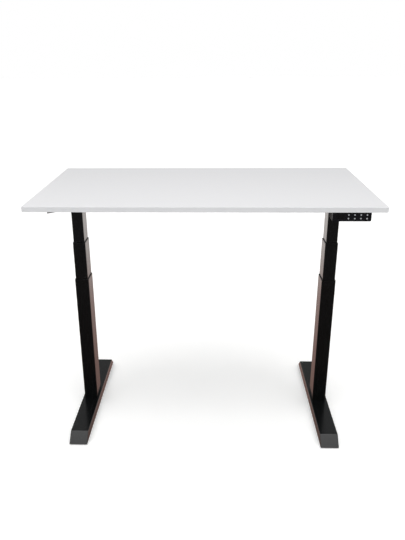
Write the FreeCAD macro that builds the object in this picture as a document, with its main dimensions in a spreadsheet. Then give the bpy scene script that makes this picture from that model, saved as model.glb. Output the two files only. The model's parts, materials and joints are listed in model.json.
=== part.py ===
import FreeCAD, Part

import math
import os
import re

import Sketcher

# Height adjustable standing desk: a white melamine board on a black steel frame with two three-stage
# telescopic columns.  Millimetres.  X runs along the board, Y from front (-) to back (+), Z up; the
# origin is on the floor under the middle of the board.

SIZES = {
    # how far a cutting or joined shape runs past the face that it starts from
    "overlap": 1.0,
    # board
    "board_width": 1200.0,
    "board_depth": 700.0,
    "board_thickness": 18.0,
    "surface_height": 950.0,
    "band_thickness": 2.0,
    "board_corner": 4.0,
    "band_round": 1.5,
    "pad_thickness": 2.0,
    # columns, at the height the desk is stored at
    "column_offset": 488.0,
    "outer_x": 55.0,
    "outer_y": 84.0,
    "tube_wall": 1.5,
    "stage_gap": 1.5,
    "slide_play": 0.3,
    "outer_corner": 4.0,
    "middle_corner": 3.0,
    "inner_corner": 2.5,
    "outer_top": 579.0,
    "middle_bottom": 204.0,
    "middle_top": 730.0,
    "inner_bottom": 384.0,
    "collar_rim": 2.0,
    "collar_depth": 30.0,
    "carrier_flange": 10.0,
    "carrier_spigot": 20.0,
    # lifting screws and drive tube, on the column's axis
    "fit_play": 0.08,
    "loose_play": 0.3,
    "lower_screw_radius": 8.0,
    "upper_screw_radius": 13.5,
    "drive_tube_radius": 17.0,
    "journal_radius": 6.0,
    "journal_gap": 0.5,
    "key_step": 1.0,
    "drive_tube_wall": 2.7,
    "drive_tube_gap": 4.0,
    "screw_flange": 3.0,
    "lower_screw_top": 410.0,
    "upper_screw_top": 590.0,
    "key_length": 12.0,
    "upper_key_length": 10.0,
    "drive_tube_top": 912.0,
    "drive_wheel_bottom": 896.0,
    "drive_wheel_width": 10.0,
    "drive_wheel_radius": 18.5,
    # feet
    "foot_width": 70.0,
    "foot_flat": 600.0,
    "foot_run": 40.0,
    "foot_bottom": 4.0,
    "foot_top": 39.0,
    "foot_wall": 2.5,
    "foot_bend": 3.0,
    "foot_shift": 7.0,
    "base_plate": 6.0,
    "foot_bolt_x": 16.0,
    "foot_bolt_y": 28.0,
    "foot_bolt_radius": 4.0,
    "foot_bolt_head": 6.5,
    "glide_y": 285.0,
    "glide_radius": 14.0,
    "glide_height": 8.0,
    "glide_stud": 4.0,
    "glide_stud_gap": 3.0,
    "glide_ease": 1.0,
    "glide_plate": 3.0,
    "glide_plate_length": 34.0,
    "glide_plate_bottom": 14.0,
    "glide_collar": 7.5,
    "socket_wide": 3.2,
    "socket_deep": 4.0,
    "foot_bolt_head_height": 8.0,
    # frame under the board
    "frame_sheet": 2.5,
    "bracket_outer": 533.5,
    "bracket_width": 74.0,
    "bracket_length": 560.0,
    "bracket_middle": 320.0,
    "bracket_tip": 20.0,
    "bracket_drop": 45.0,
    "rail_depth": 25.0,
    "rail_height": 40.0,
    "rail_wall": 2.0,
    "rail_end": 530.0,
    "head_half": 41.5,
    "head_inner": 449.0,
    "head_outer": 511.0,
    "head_bottom": 880.0,
    "gearbox_inner": 448.0,
    "gearbox_outer": 510.5,
    "gearbox_half": 36.0,
    "gearbox_top": 925.0,
    "gearbox_wall": 3.0,
    "gearbox_corner": 4.0,
    "shaft_clearance": 1.5,
    "motor_radius": 22.0,
    "motor_length": 100.0,
    "motor_height": 906.0,
    "bolt_radius": 3.0,
    "bolt_tip": 1.0,
    "bolt_head": 5.5,
    "bolt_head_height": 3.3,
    "bolt_socket": 2.3,
    "bolt_socket_depth": 2.0,
    "pad_half": 12.0,
    "motor_bell": 5.0,
    "motor_bell_radius": 14.0,
    "rail_bolt_near": 472.0,
    "rail_bolt_far": 500.0,
    "head_bolt_near": 458.0,
    "head_bolt_far": 486.0,
    "screw_x": 490.0,
    "screw_radius": 2.2,
    "screw_head": 4.5,
    "screw_head_height": 3.0,
    "screw_head_taper": 1.0,
    "screw_length": 16.0,
    "pilot_depth": 13.0,
    # control box
    "box_length": 220.0,
    "box_front": 120.0,
    "box_depth": 70.0,
    "box_height": 30.0,
    "box_wall": 2.0,
    "ear": 14.0,
    "ear_thickness": 4.5,
    "inlet_y": 155.0,
    "inlet_width": 28.0,
    "inlet_height": 20.0,
    "inlet_depth": 20.0,
    "inlet_low": 4.0,
    "inlet_wall": 2.0,
    "box_ear": 40.0,
    "box_lid": 2.5,
    "box_window": 18.0,
    "box_window_low": 8.0,
    "box_window_high": 20.0,
    "circuit_board": 1.6,
    "board_low": 6.0,
    "board_gap": 6.0,
    "board_left_gap": 26.0,
    "board_front_gap": 8.0,
    "socket_width": 17.6,
    "socket_proud": 0.5,
    "socket_back": 14.0,
    "socket_low": 8.2,
    "socket_high": 19.8,
    "socket_mouth": 12.0,
    "socket_mouth_depth": 3.0,
    "socket_mouth_low": 10.0,
    "socket_mouth_high": 17.0,
    "transformer_left": 40.0,
    "transformer_size": 40.0,
    "transformer_depth": 32.0,
    "transformer_top": 25.0,
    "pin_start": 5.0,
    "pin_root": 3.0,
    "pin_thickness": 2.0,
    "pin_low": 12.0,
    "pin_high": 16.0,
    # handset
    "handset_x": 483.5,
    "handset_length": 127.0,
    "handset_front": 347.0,
    "handset_depth": 50.0,
    "handset_height": 29.5,
    "handset_wall": 2.0,
    "handset_round": 4.0,
    "front_plate": 3.0,
    "button_radius": 2.4,
    "button_pitch": 20.0,
    "button_rows": 12.0,
    "button_first": 10.5,
    "button_upper": 8.0,
    "button_proud": 1.2,
    "button_neck": 1.4,
    "button_skirt": 3.4,
    "button_skirt_thickness": 1.0,
    "keypad_board_gap": 4.0,
    "keypad_board_inset": 5.0,
    "keypad_board_edge": 3.5,
    "switch_half": 2.0,
    "switch_height": 1.8,
}

SIDES = {"left": -1, "right": 1}
BRACKET_SCREW_YS = (-262, -190, -125, 125, 190, 262)
HANDSET_SCREW_XS = (-52, 52)
BOX_SCREW_YS = (-10, 10)
PAD_YS = (-225, -90, 90, 225)
BOX_SOCKET_XS = (-60, -20, 20)
INLET_PINS = ((-7, 0), (0, 3), (7, 0))
BUTTONS = (
    ("button_up", 0, 0),
    ("button_preset_1", 1, 0),
    ("button_preset_2", 2, 0),
    ("button_memory", 3, 0),
    ("button_down", 0, 1),
    ("button_preset_3", 1, 1),
    ("button_preset_4", 2, 1),
    ("button_lock", 3, 1),
)

# Formulas that several pieces share.
UNDERSIDE = "(surface_height - board_thickness)"
FRAME_TOP = f"({UNDERSIDE} - pad_thickness)"
RAIL_TOP = f"({FRAME_TOP} - frame_sheet)"
STAGE_STEP = "(2 * tube_wall + 2 * stage_gap)"
STAGES = {
    "outer": ("outer_x", "outer_y"),
    "middle": (f"(outer_x - {STAGE_STEP})", f"(outer_y - {STAGE_STEP})"),
    "inner": (f"(outer_x - 2 * {STAGE_STEP})", f"(outer_y - 2 * {STAGE_STEP})"),
}
RAIL_Y = "(head_half + rail_depth / 2)"
RAIL_MIDDLE = f"({RAIL_TOP} - rail_height / 2)"
HANDSET_LEFT = "(handset_x - handset_length / 2)"

doc = FreeCAD.newDocument("StandingDesk")
sheet = doc.addObject("Spreadsheet::Sheet", "Sizes")
for row, (alias, number) in enumerate(SIZES.items(), start=1):
    sheet.set(f"A{row}", alias)
    sheet.set(f"B{row}", str(number))
    sheet.setAlias(f"B{row}", alias)
doc.recompute()

nodes = []


def formula(text):
    """Points every size named in a formula at its cell in the sheet."""

    def cell(word):
        return "Sizes." + word[0] if word[0] in SIZES else word[0]
    return re.sub(r"[a-z][a-z_0-9]*", cell, str(text))


def bind(thing, **properties):
    """Binds properties of an object to formulas; a double underscore stands for a dot."""
    for name, text in properties.items():
        thing.setExpression(name.replace("__", "."), formula(text))
    return thing


def in_order(sign, near, far):
    """The lower and the higher of two distances from the middle, on the side that the sign says."""
    return (near, far) if sign > 0 else (f"-({far})", f"-({near})")


def place(thing, x=0, y=0, z=0):
    return bind(thing, Placement__Base__x=x, Placement__Base__y=y, Placement__Base__z=z)


def keep(thing, label):
    """Marks an object as a finished sub-part with its own name."""
    thing.Label = label
    nodes.append(thing)
    return thing


# Bodies made from sketches -------------------------------------------------------------------------


def new_body(label):
    return keep(doc.addObject("PartDesign::Body", label + "_body"), label)


def new_sketch(body, plane, offset):
    """A sketch on one of the body's origin planes, moved along that plane's normal."""
    sketch = body.newObject("Sketcher::SketchObject", "Sketch")
    origin_plane = next(item for item in body.Origin.OriginFeatures if item.Role == plane)
    sketch.AttachmentSupport = [(origin_plane, "")]
    sketch.MapMode = "FlatFace"
    return bind(sketch, AttachmentOffset__Base__z=offset)


def pin_point(sketch, index, which, x, y, seed):
    """Fixes one point of a sketch at two formulas, measured from the sketch's origin."""
    for kind, text, start in (("DistanceX", x, seed[0]), ("DistanceY", y, seed[1])):
        number = sketch.addConstraint(Sketcher.Constraint(kind, -1, 1, index, which, start))
        sketch.setExpression(f"Constraints[{number}]", formula(text))


def draw_polygon(sketch, points):
    count = len(points)
    seeds = [(100 * math.cos(2 * math.pi * i / count + 0.3), 100 * math.sin(2 * math.pi * i / count + 0.3))
             for i in range(count)]
    first = sketch.GeometryCount
    for i in range(count):
        start, end = seeds[i], seeds[(i + 1) % count]
        sketch.addGeometry(Part.LineSegment(FreeCAD.Vector(*start, 0), FreeCAD.Vector(*end, 0)))
    for i in range(count):
        sketch.addConstraint(Sketcher.Constraint("Coincident", first + i, 2, first + (i + 1) % count, 1))
    for i, (x, y) in enumerate(points):
        pin_point(sketch, first + i, 1, x, y, seeds[i])


def draw_box(sketch, x_low, x_high, y_low, y_high):
    draw_polygon(sketch, [(x_low, y_low), (x_high, y_low), (x_high, y_high), (x_low, y_high)])


def draw_centred(sketch, width, depth):
    draw_box(sketch, f"-({width}) / 2", f"({width}) / 2", f"-({depth}) / 2", f"({depth}) / 2")


def draw_circles(sketch, circles):
    for x, y, radius in circles:
        index = sketch.addGeometry(Part.Circle(FreeCAD.Vector(1, 1, 0), FreeCAD.Vector(0, 0, 1), 5))
        pin_point(sketch, index, 3, x, y, (1, 1))
        number = sketch.addConstraint(Sketcher.Constraint("Radius", index, 5))
        sketch.setExpression(f"Constraints[{number}]", formula(radius))


def pad(body, sketch, length):
    feature = body.newObject("PartDesign::Pad", "Pad")
    feature.Profile = sketch
    bind(feature, Length=length)
    doc.recompute()
    return feature


def pocket(body, sketch, length):
    """Cuts from the sketch's plane against its normal, and makes sure that it cuts something."""
    before = body.Shape.Volume
    feature = body.newObject("PartDesign::Pocket", "Pocket")
    feature.Profile = sketch
    bind(feature, Length=length)
    doc.recompute()
    if body.Shape.Volume > before - 1e-3:
        raise RuntimeError(f"a pocket of {body.Label} cuts nothing")
    return feature


def round_edges(body, radius, chosen):
    """Fillets the edges of the body's last feature that a test picks."""
    base = body.Tip
    names = [f"Edge{i}" for i, edge in enumerate(base.Shape.Edges, start=1) if chosen(edge)]
    feature = body.newObject("PartDesign::Fillet", "Fillet")
    feature.Base = (base, names)
    bind(feature, Radius=radius)
    doc.recompute()
    return feature


def is_upright(edge):
    ends = [vertex.Point for vertex in edge.Vertexes]
    return len(ends) == 2 and abs(ends[0].x - ends[1].x) < 1e-6 and abs(ends[0].y - ends[1].y) < 1e-6


def add_layer(body, outline, bottom, height):
    """Pads a centred rectangle at a height."""
    sketch = new_sketch(body, "XY_Plane", bottom)
    draw_centred(sketch, *outline)
    return pad(body, sketch, height)


def cut_layer(body, outline, top, depth):
    """Pockets a centred rectangle down from a height."""
    sketch = new_sketch(body, "XY_Plane", top)
    draw_centred(sketch, *outline)
    return pocket(body, sketch, depth)


def cut_holes(body, circles, top, depth):
    sketch = new_sketch(body, "XY_Plane", top)
    draw_circles(sketch, circles)
    return pocket(body, sketch, depth)


def new_edges(old_points):
    """A test for upright edges that weren't there before, given the old upright edges' places."""

    def test(edge):
        if not is_upright(edge):
            return False
        point = edge.Vertexes[0]
        return (round(point.X, 3), round(point.Y, 3)) not in old_points
    return test


def upright_places(body):
    return {(round(edge.Vertexes[0].X, 3), round(edge.Vertexes[0].Y, 3))
            for edge in body.Tip.Shape.Edges if is_upright(edge)}


def ring_body(label, outline, opening, bottom, height, outer_round, inner_round):
    """A straight rectangular tube with rounded corners inside and out."""
    body = new_body(label)
    add_layer(body, outline, bottom, height)
    round_edges(body, outer_round, is_upright)
    places = upright_places(body)
    cut_layer(body, opening, f"{bottom} + {height}", height)
    round_edges(body, inner_round, new_edges(places))
    return body


# Primitives ----------------------------------------------------------------------------------------


def block(x_low, x_high, y_low, y_high, z_low, z_high, name="Block"):
    thing = doc.addObject("Part::Box", name)
    bind(thing, Length=f"({x_high}) - ({x_low})", Width=f"({y_high}) - ({y_low})",
         Height=f"({z_high}) - ({z_low})")
    return place(thing, x_low, y_low, z_low)


def rod(x, y, z, radius, length, axis="z"):
    """A cylinder that starts at a point and runs along an axis of the desk."""
    thing = doc.addObject("Part::Cylinder", "Rod")
    turn = {"x": ((0, 1, 0), 90), "y": ((1, 0, 0), -90), "z": ((0, 0, 1), 0)}[axis]
    thing.Placement = FreeCAD.Placement(FreeCAD.Vector(), FreeCAD.Rotation(FreeCAD.Vector(*turn[0]), turn[1]))
    bind(thing, Radius=radius, Height=length)
    return place(thing, x, y, z)


def fuse(*pieces):
    thing = doc.addObject("Part::MultiFuse", "Joined")
    thing.Shapes = list(pieces)
    thing.Refine = True
    return thing


def cut(base, *tools):
    thing = doc.addObject("Part::Cut", "Hollowed")
    thing.Base = base
    thing.Tool = tools[0] if len(tools) == 1 else fuse(*tools)
    return thing


def group(*pieces):
    """Several separate solids that share one sub-part."""
    thing = doc.addObject("Part::Compound", "Group")
    thing.Links = list(pieces)
    return thing


# Board ---------------------------------------------------------------------------------------------


def bracket_screw_places():
    return [(f"{side} * screw_x", y) for side in SIDES.values() for y in BRACKET_SCREW_YS]


def handset_screw_places():
    return [(f"handset_x + {x}", "-handset_front + handset_depth + ear / 2") for x in HANDSET_SCREW_XS]


def box_screw_places():
    return [(f"{side} * (box_length + ear) / 2", f"box_front + box_depth / 2 + {y}")
            for side in SIDES.values() for y in BOX_SCREW_YS]


def wood_screw_places():
    """Where the board is screwed to: side brackets, handset ears and control box ears."""
    return bracket_screw_places() + handset_screw_places() + box_screw_places()


def ear_hole(x, y):
    """The hole for a wood screw through an ear of the handset or the control box."""
    return rod(x, y, f"{UNDERSIDE} - ear_thickness - overlap", "screw_radius + 2 * loose_play",
               "ear_thickness + 2 * overlap")


def make_board():
    board = new_body("desktop")
    bare = ("board_width - 2 * band_thickness", "board_depth - 2 * band_thickness")
    add_layer(board, bare, UNDERSIDE, "board_thickness")
    round_edges(board, "board_corner - band_thickness", is_upright)
    pilots = [(x, y, "screw_radius + fit_play") for x, y in wood_screw_places()]
    cut_holes(board, pilots, f"{UNDERSIDE} + pilot_depth", "pilot_depth")

    band = ring_body("desktop_edge_band", ("board_width", "board_depth"), bare, UNDERSIDE, "board_thickness",
                     "board_corner", "board_corner - band_thickness")
    half_width, half_depth = SIZES["board_width"] / 2, SIZES["board_depth"] / 2
    bare_width, bare_depth = half_width - SIZES["band_thickness"], half_depth - SIZES["band_thickness"]

    def on_outer_rim(edge):
        box = edge.BoundBox
        level = box.ZLength < 1e-6
        inside = all(abs(v.X) <= bare_width + 1e-6 and abs(v.Y) <= bare_depth + 1e-6 for v in edge.Vertexes)
        return level and not inside
    round_edges(band, "band_round", on_outer_rim)


# Columns -------------------------------------------------------------------------------------------


def inside(stage):
    """The clear opening of a stage's tube."""
    return tuple(f"({size} - 2 * tube_wall)" for size in STAGES[stage])


def around(stage):
    """The opening of a guide collar that a stage slides through."""
    return tuple(f"({size} + 2 * slide_play)" for size in STAGES[stage])


def within(stage):
    """The outline of a guide block that slides inside a stage's tube."""
    return tuple(f"({size} - 2 * tube_wall - 2 * slide_play)" for size in STAGES[stage])


def make_collar(label, stage, next_stage, top, rim_round):
    """A plastic guide collar: a rim on the tube's end and a skirt in the gap between two stages."""
    body = new_body(label)
    add_layer(body, inside(stage), f"{top} - collar_depth", "collar_depth")
    round_edges(body, "middle_corner", is_upright)
    places = upright_places(body)
    add_layer(body, STAGES[stage], top, "collar_rim")
    round_edges(body, rim_round, new_edges(places))
    places = upright_places(body)
    cut_layer(body, around(next_stage), f"{top} + collar_rim", "collar_rim + collar_depth")
    round_edges(body, "outer_corner / 2", new_edges(places))
    return body


def make_carrier(label, stage, outer_stage, bottom, bore):
    """The guide block in a stage's lower end, which holds the nut of the screw below it."""
    body = new_body(label)
    add_layer(body, within(outer_stage), f"{bottom} - carrier_flange", "carrier_flange")
    add_layer(body, inside(stage), bottom, "carrier_spigot")
    round_edges(body, "middle_corner", is_upright)
    cut_holes(body, [("0.0", "0.0", bore)], f"{bottom} + carrier_spigot", "carrier_flange + carrier_spigot")
    return body


def make_screws(side, x):
    """The two lifting screws and the drive tube, nested on the column's axis."""
    shaft_start = "(foot_top + base_plate)"
    flange_bottom = f"({shaft_start} + loose_play)"
    key_radius = "(lower_screw_radius + key_step)"
    lower = fuse(
        rod(x, 0, "foot_top + journal_gap", "journal_radius", "base_plate + loose_play"),
        rod(x, 0, flange_bottom, "journal_radius * 2", "screw_flange"),
        rod(x, 0, flange_bottom, "lower_screw_radius", f"lower_screw_top - {flange_bottom}"),
        rod(x, 0, "lower_screw_top - key_length", key_radius, "key_length"))
    keep(lower, f"lower_screw_{side}")

    upper_bottom = "(middle_bottom + carrier_spigot + loose_play)"
    collar_radius = "(drive_tube_radius - drive_tube_wall)"
    upper = cut(
        fuse(rod(x, 0, upper_bottom, "drive_tube_radius", "screw_flange"),
             rod(x, 0, upper_bottom, "upper_screw_radius", f"upper_screw_top - {upper_bottom}"),
             rod(x, 0, "upper_screw_top - upper_key_length", collar_radius, "upper_key_length")),
        rod(x, 0, f"{upper_bottom} - overlap", f"{key_radius} + loose_play",
            f"upper_screw_top - {upper_bottom} + 2 * overlap"))
    keep(upper, f"upper_screw_{side}")

    tube_bottom = "(inner_bottom + carrier_spigot + drive_tube_gap)"
    tube = cut(
        fuse(rod(x, 0, tube_bottom, "drive_tube_radius", f"drive_tube_top - {tube_bottom}"),
             rod(x, 0, "drive_wheel_bottom", "drive_wheel_radius", "drive_wheel_width")),
        rod(x, 0, f"{tube_bottom} - overlap", f"{collar_radius} + loose_play",
            f"drive_tube_top - {tube_bottom} + 2 * overlap"))
    keep(tube, f"drive_tube_{side}")


def make_column(side, sign):
    x = f"{sign} * column_offset"
    bodies = [
        ring_body(f"outer_tube_{side}", STAGES["outer"], inside("outer"), "foot_top", "outer_top - foot_top",
                  "outer_corner", "outer_corner - tube_wall"),
        ring_body(f"middle_tube_{side}", STAGES["middle"], inside("middle"), "middle_bottom",
                  "middle_top - middle_bottom", "middle_corner", "middle_corner - tube_wall"),
        ring_body(f"inner_tube_{side}", STAGES["inner"], inside("inner"), "inner_bottom",
                  "head_bottom - inner_bottom", "inner_corner", "inner_corner - tube_wall"),
        make_collar(f"outer_collar_{side}", "outer", "middle", "outer_top", "outer_corner"),
        make_collar(f"middle_collar_{side}", "middle", "inner", "middle_top", "middle_corner"),
        make_carrier(f"middle_nut_carrier_{side}", "middle", "outer", "middle_bottom",
                     "lower_screw_radius + fit_play"),
        make_carrier(f"inner_nut_carrier_{side}", "inner", "middle", "inner_bottom",
                     "upper_screw_radius + fit_play"),
    ]
    plate = new_body(f"base_plate_{side}")
    add_layer(plate, inside("outer"), "foot_top", "base_plate")
    round_edges(plate, "middle_corner", is_upright)
    holes = [("0.0", "0.0", "journal_radius + fit_play")]
    holes += [(f"{i} * foot_bolt_x", f"{j} * foot_bolt_y", "foot_bolt_radius + fit_play")
              for i in (-1, 1) for j in (-1, 1)]
    cut_holes(plate, holes, "foot_top + base_plate", "base_plate")
    for body in bodies + [plate]:
        bind(body, Placement__Base__x=x)
    make_screws(side, x)


# Feet ----------------------------------------------------------------------------------------------


def make_foot(side, sign):
    """A folded steel channel, open below, with sloping ends and a welded plate for each glide."""
    body = new_body(f"foot_{side}")
    half, end = "(foot_flat / 2)", "(foot_flat / 2 + foot_run)"
    outline = new_sketch(body, "YZ_Plane", "-foot_width / 2")
    draw_polygon(outline, [(f"foot_shift - {end}", "foot_bottom"), (f"foot_shift + {end}", "foot_bottom"),
                           (f"foot_shift + {half}", "foot_top"), (f"foot_shift - {half}", "foot_top")])
    pad(body, outline, "foot_width")

    def on_long_top(edge):
        ends = edge.Vertexes
        across = abs(ends[0].X - ends[1].X) > 1e-6
        low = max(ends[0].Z, ends[1].Z) < SIZES["foot_top"] - 1e-6
        return not across and not low
    round_edges(body, "foot_bend", on_long_top)

    slope = "(foot_run / (foot_top - foot_bottom))"
    inset = f"(foot_wall * sqrt(1 + {slope} ^ 2))"
    inner_end = f"({end} - {inset})"
    roof = "(foot_top - foot_wall)"
    inner_half = f"({inner_end} - {slope} * ({roof} - foot_bottom))"
    below = "(foot_bottom - overlap)"
    below_end = f"({inner_end} + {slope} * overlap)"
    hollow = new_sketch(body, "YZ_Plane", "foot_width / 2 - foot_wall")
    draw_polygon(hollow, [(f"foot_shift - {below_end}", below), (f"foot_shift + {below_end}", below),
                          (f"foot_shift + {inner_half}", roof), (f"foot_shift - {inner_half}", roof)])
    pocket(body, hollow, "foot_width - 2 * foot_wall")

    for front_back in (-1, 1):
        shelf = new_sketch(body, "XY_Plane", "glide_plate_bottom")
        middle = f"{front_back} * glide_y + foot_shift"
        draw_box(shelf, "-(foot_width / 2 - foot_wall)", "foot_width / 2 - foot_wall",
                 f"{middle} - glide_plate_length / 2", f"{middle} + glide_plate_length / 2")
        pad(body, shelf, "glide_plate")
    cut_holes(body, [("0.0", f"{j} * glide_y + foot_shift", "glide_stud + fit_play") for j in (-1, 1)],
              "glide_plate_bottom + glide_plate", "glide_plate")
    bolt_holes = [(f"{i} * foot_bolt_x", f"{j} * foot_bolt_y", "foot_bolt_radius + loose_play")
                  for i in (-1, 1) for j in (-1, 1)]
    cut_holes(body, bolt_holes, "foot_top", "foot_wall")
    bind(body, Placement__Base__x=f"{sign} * column_offset")

    bolts = []
    for i in (-1, 1):
        for j in (-1, 1):
            spot = (f"{sign} * column_offset + {i} * foot_bolt_x", f"{j} * foot_bolt_y")
            head_bottom = f"{roof} - foot_bolt_head_height"
            head = cut(rod(*spot, head_bottom, "foot_bolt_head", "foot_bolt_head_height"),
                       rod(*spot, head_bottom, "socket_wide", "socket_deep"))
            bolts.append(fuse(head, rod(*spot, roof, "foot_bolt_radius", "foot_wall + base_plate")))
    keep(group(*bolts), f"foot_bolts_{side}")

    for end_name, j in (("front", -1), ("back", 1)):
        glide = new_body(f"glide_{side}_{end_name}")
        profile = new_sketch(glide, "XZ_Plane", "0.0")
        stud_top = f"({roof} - glide_stud_gap)"
        draw_polygon(profile, [("0.0", "0.0"), ("glide_radius - glide_ease", "0.0"),
                               ("glide_radius", "glide_ease"),
                               ("glide_radius", "glide_height / 2"), ("glide_collar", "glide_height"),
                               ("glide_stud", "glide_height"), ("glide_stud", stud_top), ("0.0", stud_top)])
        turned = glide.newObject("PartDesign::Revolution", "Turned")
        turned.Profile = profile
        turned.ReferenceAxis = (profile, ["V_Axis"])
        turned.Angle = 360
        doc.recompute()
        bind(glide, Placement__Base__x=f"{sign} * column_offset",
             Placement__Base__y=f"{j} * glide_y + foot_shift")


# Frame under the board -----------------------------------------------------------------------------


def make_bracket(side, sign):
    """An angle bracket: a flange under the board and a web at its outer side, lower at both tips."""
    body = new_body(f"side_bracket_{side}")
    half, middle = "bracket_length / 2", "bracket_middle / 2"
    web = new_sketch(body, "YZ_Plane", "bracket_outer - frame_sheet" if sign > 0 else "-bracket_outer")
    tip, drop = f"{FRAME_TOP} - bracket_tip", f"{FRAME_TOP} - bracket_drop"
    draw_polygon(web, [(f"-{half}", tip), (f"-{middle}", drop), (middle, drop), (half, tip),
                       (half, FRAME_TOP), (f"-{half}", FRAME_TOP)])
    pad(body, web, "frame_sheet")
    flange = new_sketch(body, "XY_Plane", RAIL_TOP)
    low, high = in_order(sign, "bracket_outer - bracket_width", "bracket_outer")
    draw_box(flange, low, high, f"-{half}", half)
    pad(body, flange, "frame_sheet")
    holes = [(x, y, "screw_radius + 2 * loose_play") for x, y in wood_screw_places()[:12]
             if x.startswith(f"{sign} ")]
    holes += [(f"{sign} * {x}", f"{j} * {RAIL_Y}", "bolt_radius + fit_play")
              for x in ("rail_bolt_near", "rail_bolt_far") for j in (-1, 1)]
    cut_holes(body, holes, FRAME_TOP, "frame_sheet")


def make_rail(label, j):
    """A rectangular steel tube between the two column heads, drilled for the bracket bolts."""
    body = new_body(label)
    outline = new_sketch(body, "YZ_Plane", "-rail_end")
    middle = f"{j} * {RAIL_Y}"
    draw_box(outline, f"{middle} - rail_depth / 2", f"{middle} + rail_depth / 2",
             f"{RAIL_TOP} - rail_height", RAIL_TOP)
    pad(body, outline, "2 * rail_end")

    def runs_along(edge):
        return abs(edge.Vertexes[0].X - edge.Vertexes[1].X) > 1
    round_edges(body, "rail_wall", runs_along)
    hollow = new_sketch(body, "YZ_Plane", "rail_end")
    draw_box(hollow, f"{middle} - rail_depth / 2 + rail_wall", f"{middle} + rail_depth / 2 - rail_wall",
             f"{RAIL_TOP} - rail_height + rail_wall", f"{RAIL_TOP} - rail_wall")
    pocket(body, hollow, "2 * rail_end")
    holes = [(f"{sign} * {x}", middle, "bolt_radius + loose_play")
             for sign in SIDES.values() for x in ("rail_bolt_near", "rail_bolt_far")]
    cut_holes(body, holes, RAIL_TOP, "rail_height")
    cross = new_sketch(body, "XZ_Plane", f"-({middle} - rail_depth / 2)")
    draw_circles(cross, [(f"{sign} * {x}", RAIL_MIDDLE, "bolt_radius + loose_play")
                         for sign in SIDES.values() for x in ("head_bolt_near", "head_bolt_far")])
    pocket(body, cross, "rail_depth")


def make_head(side, sign):
    """The channel welded on the inner tube, the gearbox in it and the motor beside it."""
    low, high = in_order(sign, "head_inner", "head_outer")
    x = f"{sign} * column_offset"
    shaft_hole = "drive_tube_radius + shaft_clearance"
    bolt_holes = [rod(f"{sign} * {spot}", "-head_half - overlap", RAIL_MIDDLE, "bolt_radius + fit_play",
                      "2 * head_half + 2 * overlap", "y") for spot in ("head_bolt_near", "head_bolt_far")]
    head = cut(block(low, high, "-head_half", "head_half", "head_bottom", RAIL_TOP),
               block(f"{low} - overlap", f"{high} + overlap", "-head_half + frame_sheet",
                     "head_half - frame_sheet", "head_bottom + frame_sheet", f"{RAIL_TOP} + overlap"),
               rod(x, 0, "head_bottom - overlap", shaft_hole, "frame_sheet + 2 * overlap"),
               *bolt_holes)
    keep(head, f"column_head_{side}")

    low, high = in_order(sign, "gearbox_inner", "gearbox_outer")
    floor = "(head_bottom + frame_sheet)"
    housing = cut(
        block(low, high, "-gearbox_half", "gearbox_half", floor, "gearbox_top"),
        rod(x, 0, f"{floor} + gearbox_wall", "drive_wheel_radius + 2 * loose_play",
            f"gearbox_top - {floor} - 2 * gearbox_wall"),
        rod(x, 0, f"{floor} - overlap", "drive_tube_radius + loose_play", "gearbox_wall + 2 * overlap"))
    rounded = doc.addObject("Part::Fillet", "Rounded")
    rounded.Base = housing
    doc.recompute()
    corners = [i for i, edge in enumerate(housing.Shape.Edges, start=1)
               if is_upright(edge) and abs(abs(edge.Vertexes[0].Y) - SIZES["gearbox_half"]) < 1e-6]
    rounded.Edges = [(i, SIZES["gearbox_corner"], SIZES["gearbox_corner"]) for i in corners]
    keep(rounded, f"gearbox_housing_{side}")

    can_start, can_end = in_order(sign, "gearbox_inner - motor_length", "gearbox_inner")
    bell_start, _ = in_order(sign, "gearbox_inner - motor_length - motor_bell",
                             "gearbox_inner - motor_length")
    can = rod(can_start, 0, "motor_height", "motor_radius", f"{can_end} - ({can_start})", "x")
    bell = rod(bell_start, 0, "motor_height", "motor_bell_radius", "motor_bell", "x")
    keep(fuse(can, bell), f"motor_{side}")


def cross_bolt(x, j):
    """A socket screw that holds a rail against a column head, from the outside inwards."""
    outer = f"{j} * (head_half + rail_depth)"
    length = "(rail_depth + frame_sheet + bolt_tip)"
    if j < 0:
        shank = rod(x, outer, RAIL_MIDDLE, "bolt_radius", length, "y")
        head_start, socket_start = f"{outer} - bolt_head_height", f"{outer} - bolt_head_height"
    else:
        shank = rod(x, f"{outer} - {length}", RAIL_MIDDLE, "bolt_radius", length, "y")
        head_start, socket_start = outer, f"{outer} + bolt_head_height - bolt_socket_depth"
    head = cut(rod(x, head_start, RAIL_MIDDLE, "bolt_head", "bolt_head_height", "y"),
               rod(x, socket_start, RAIL_MIDDLE, "bolt_socket", "bolt_socket_depth", "y"))
    return fuse(head, shank)


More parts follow.
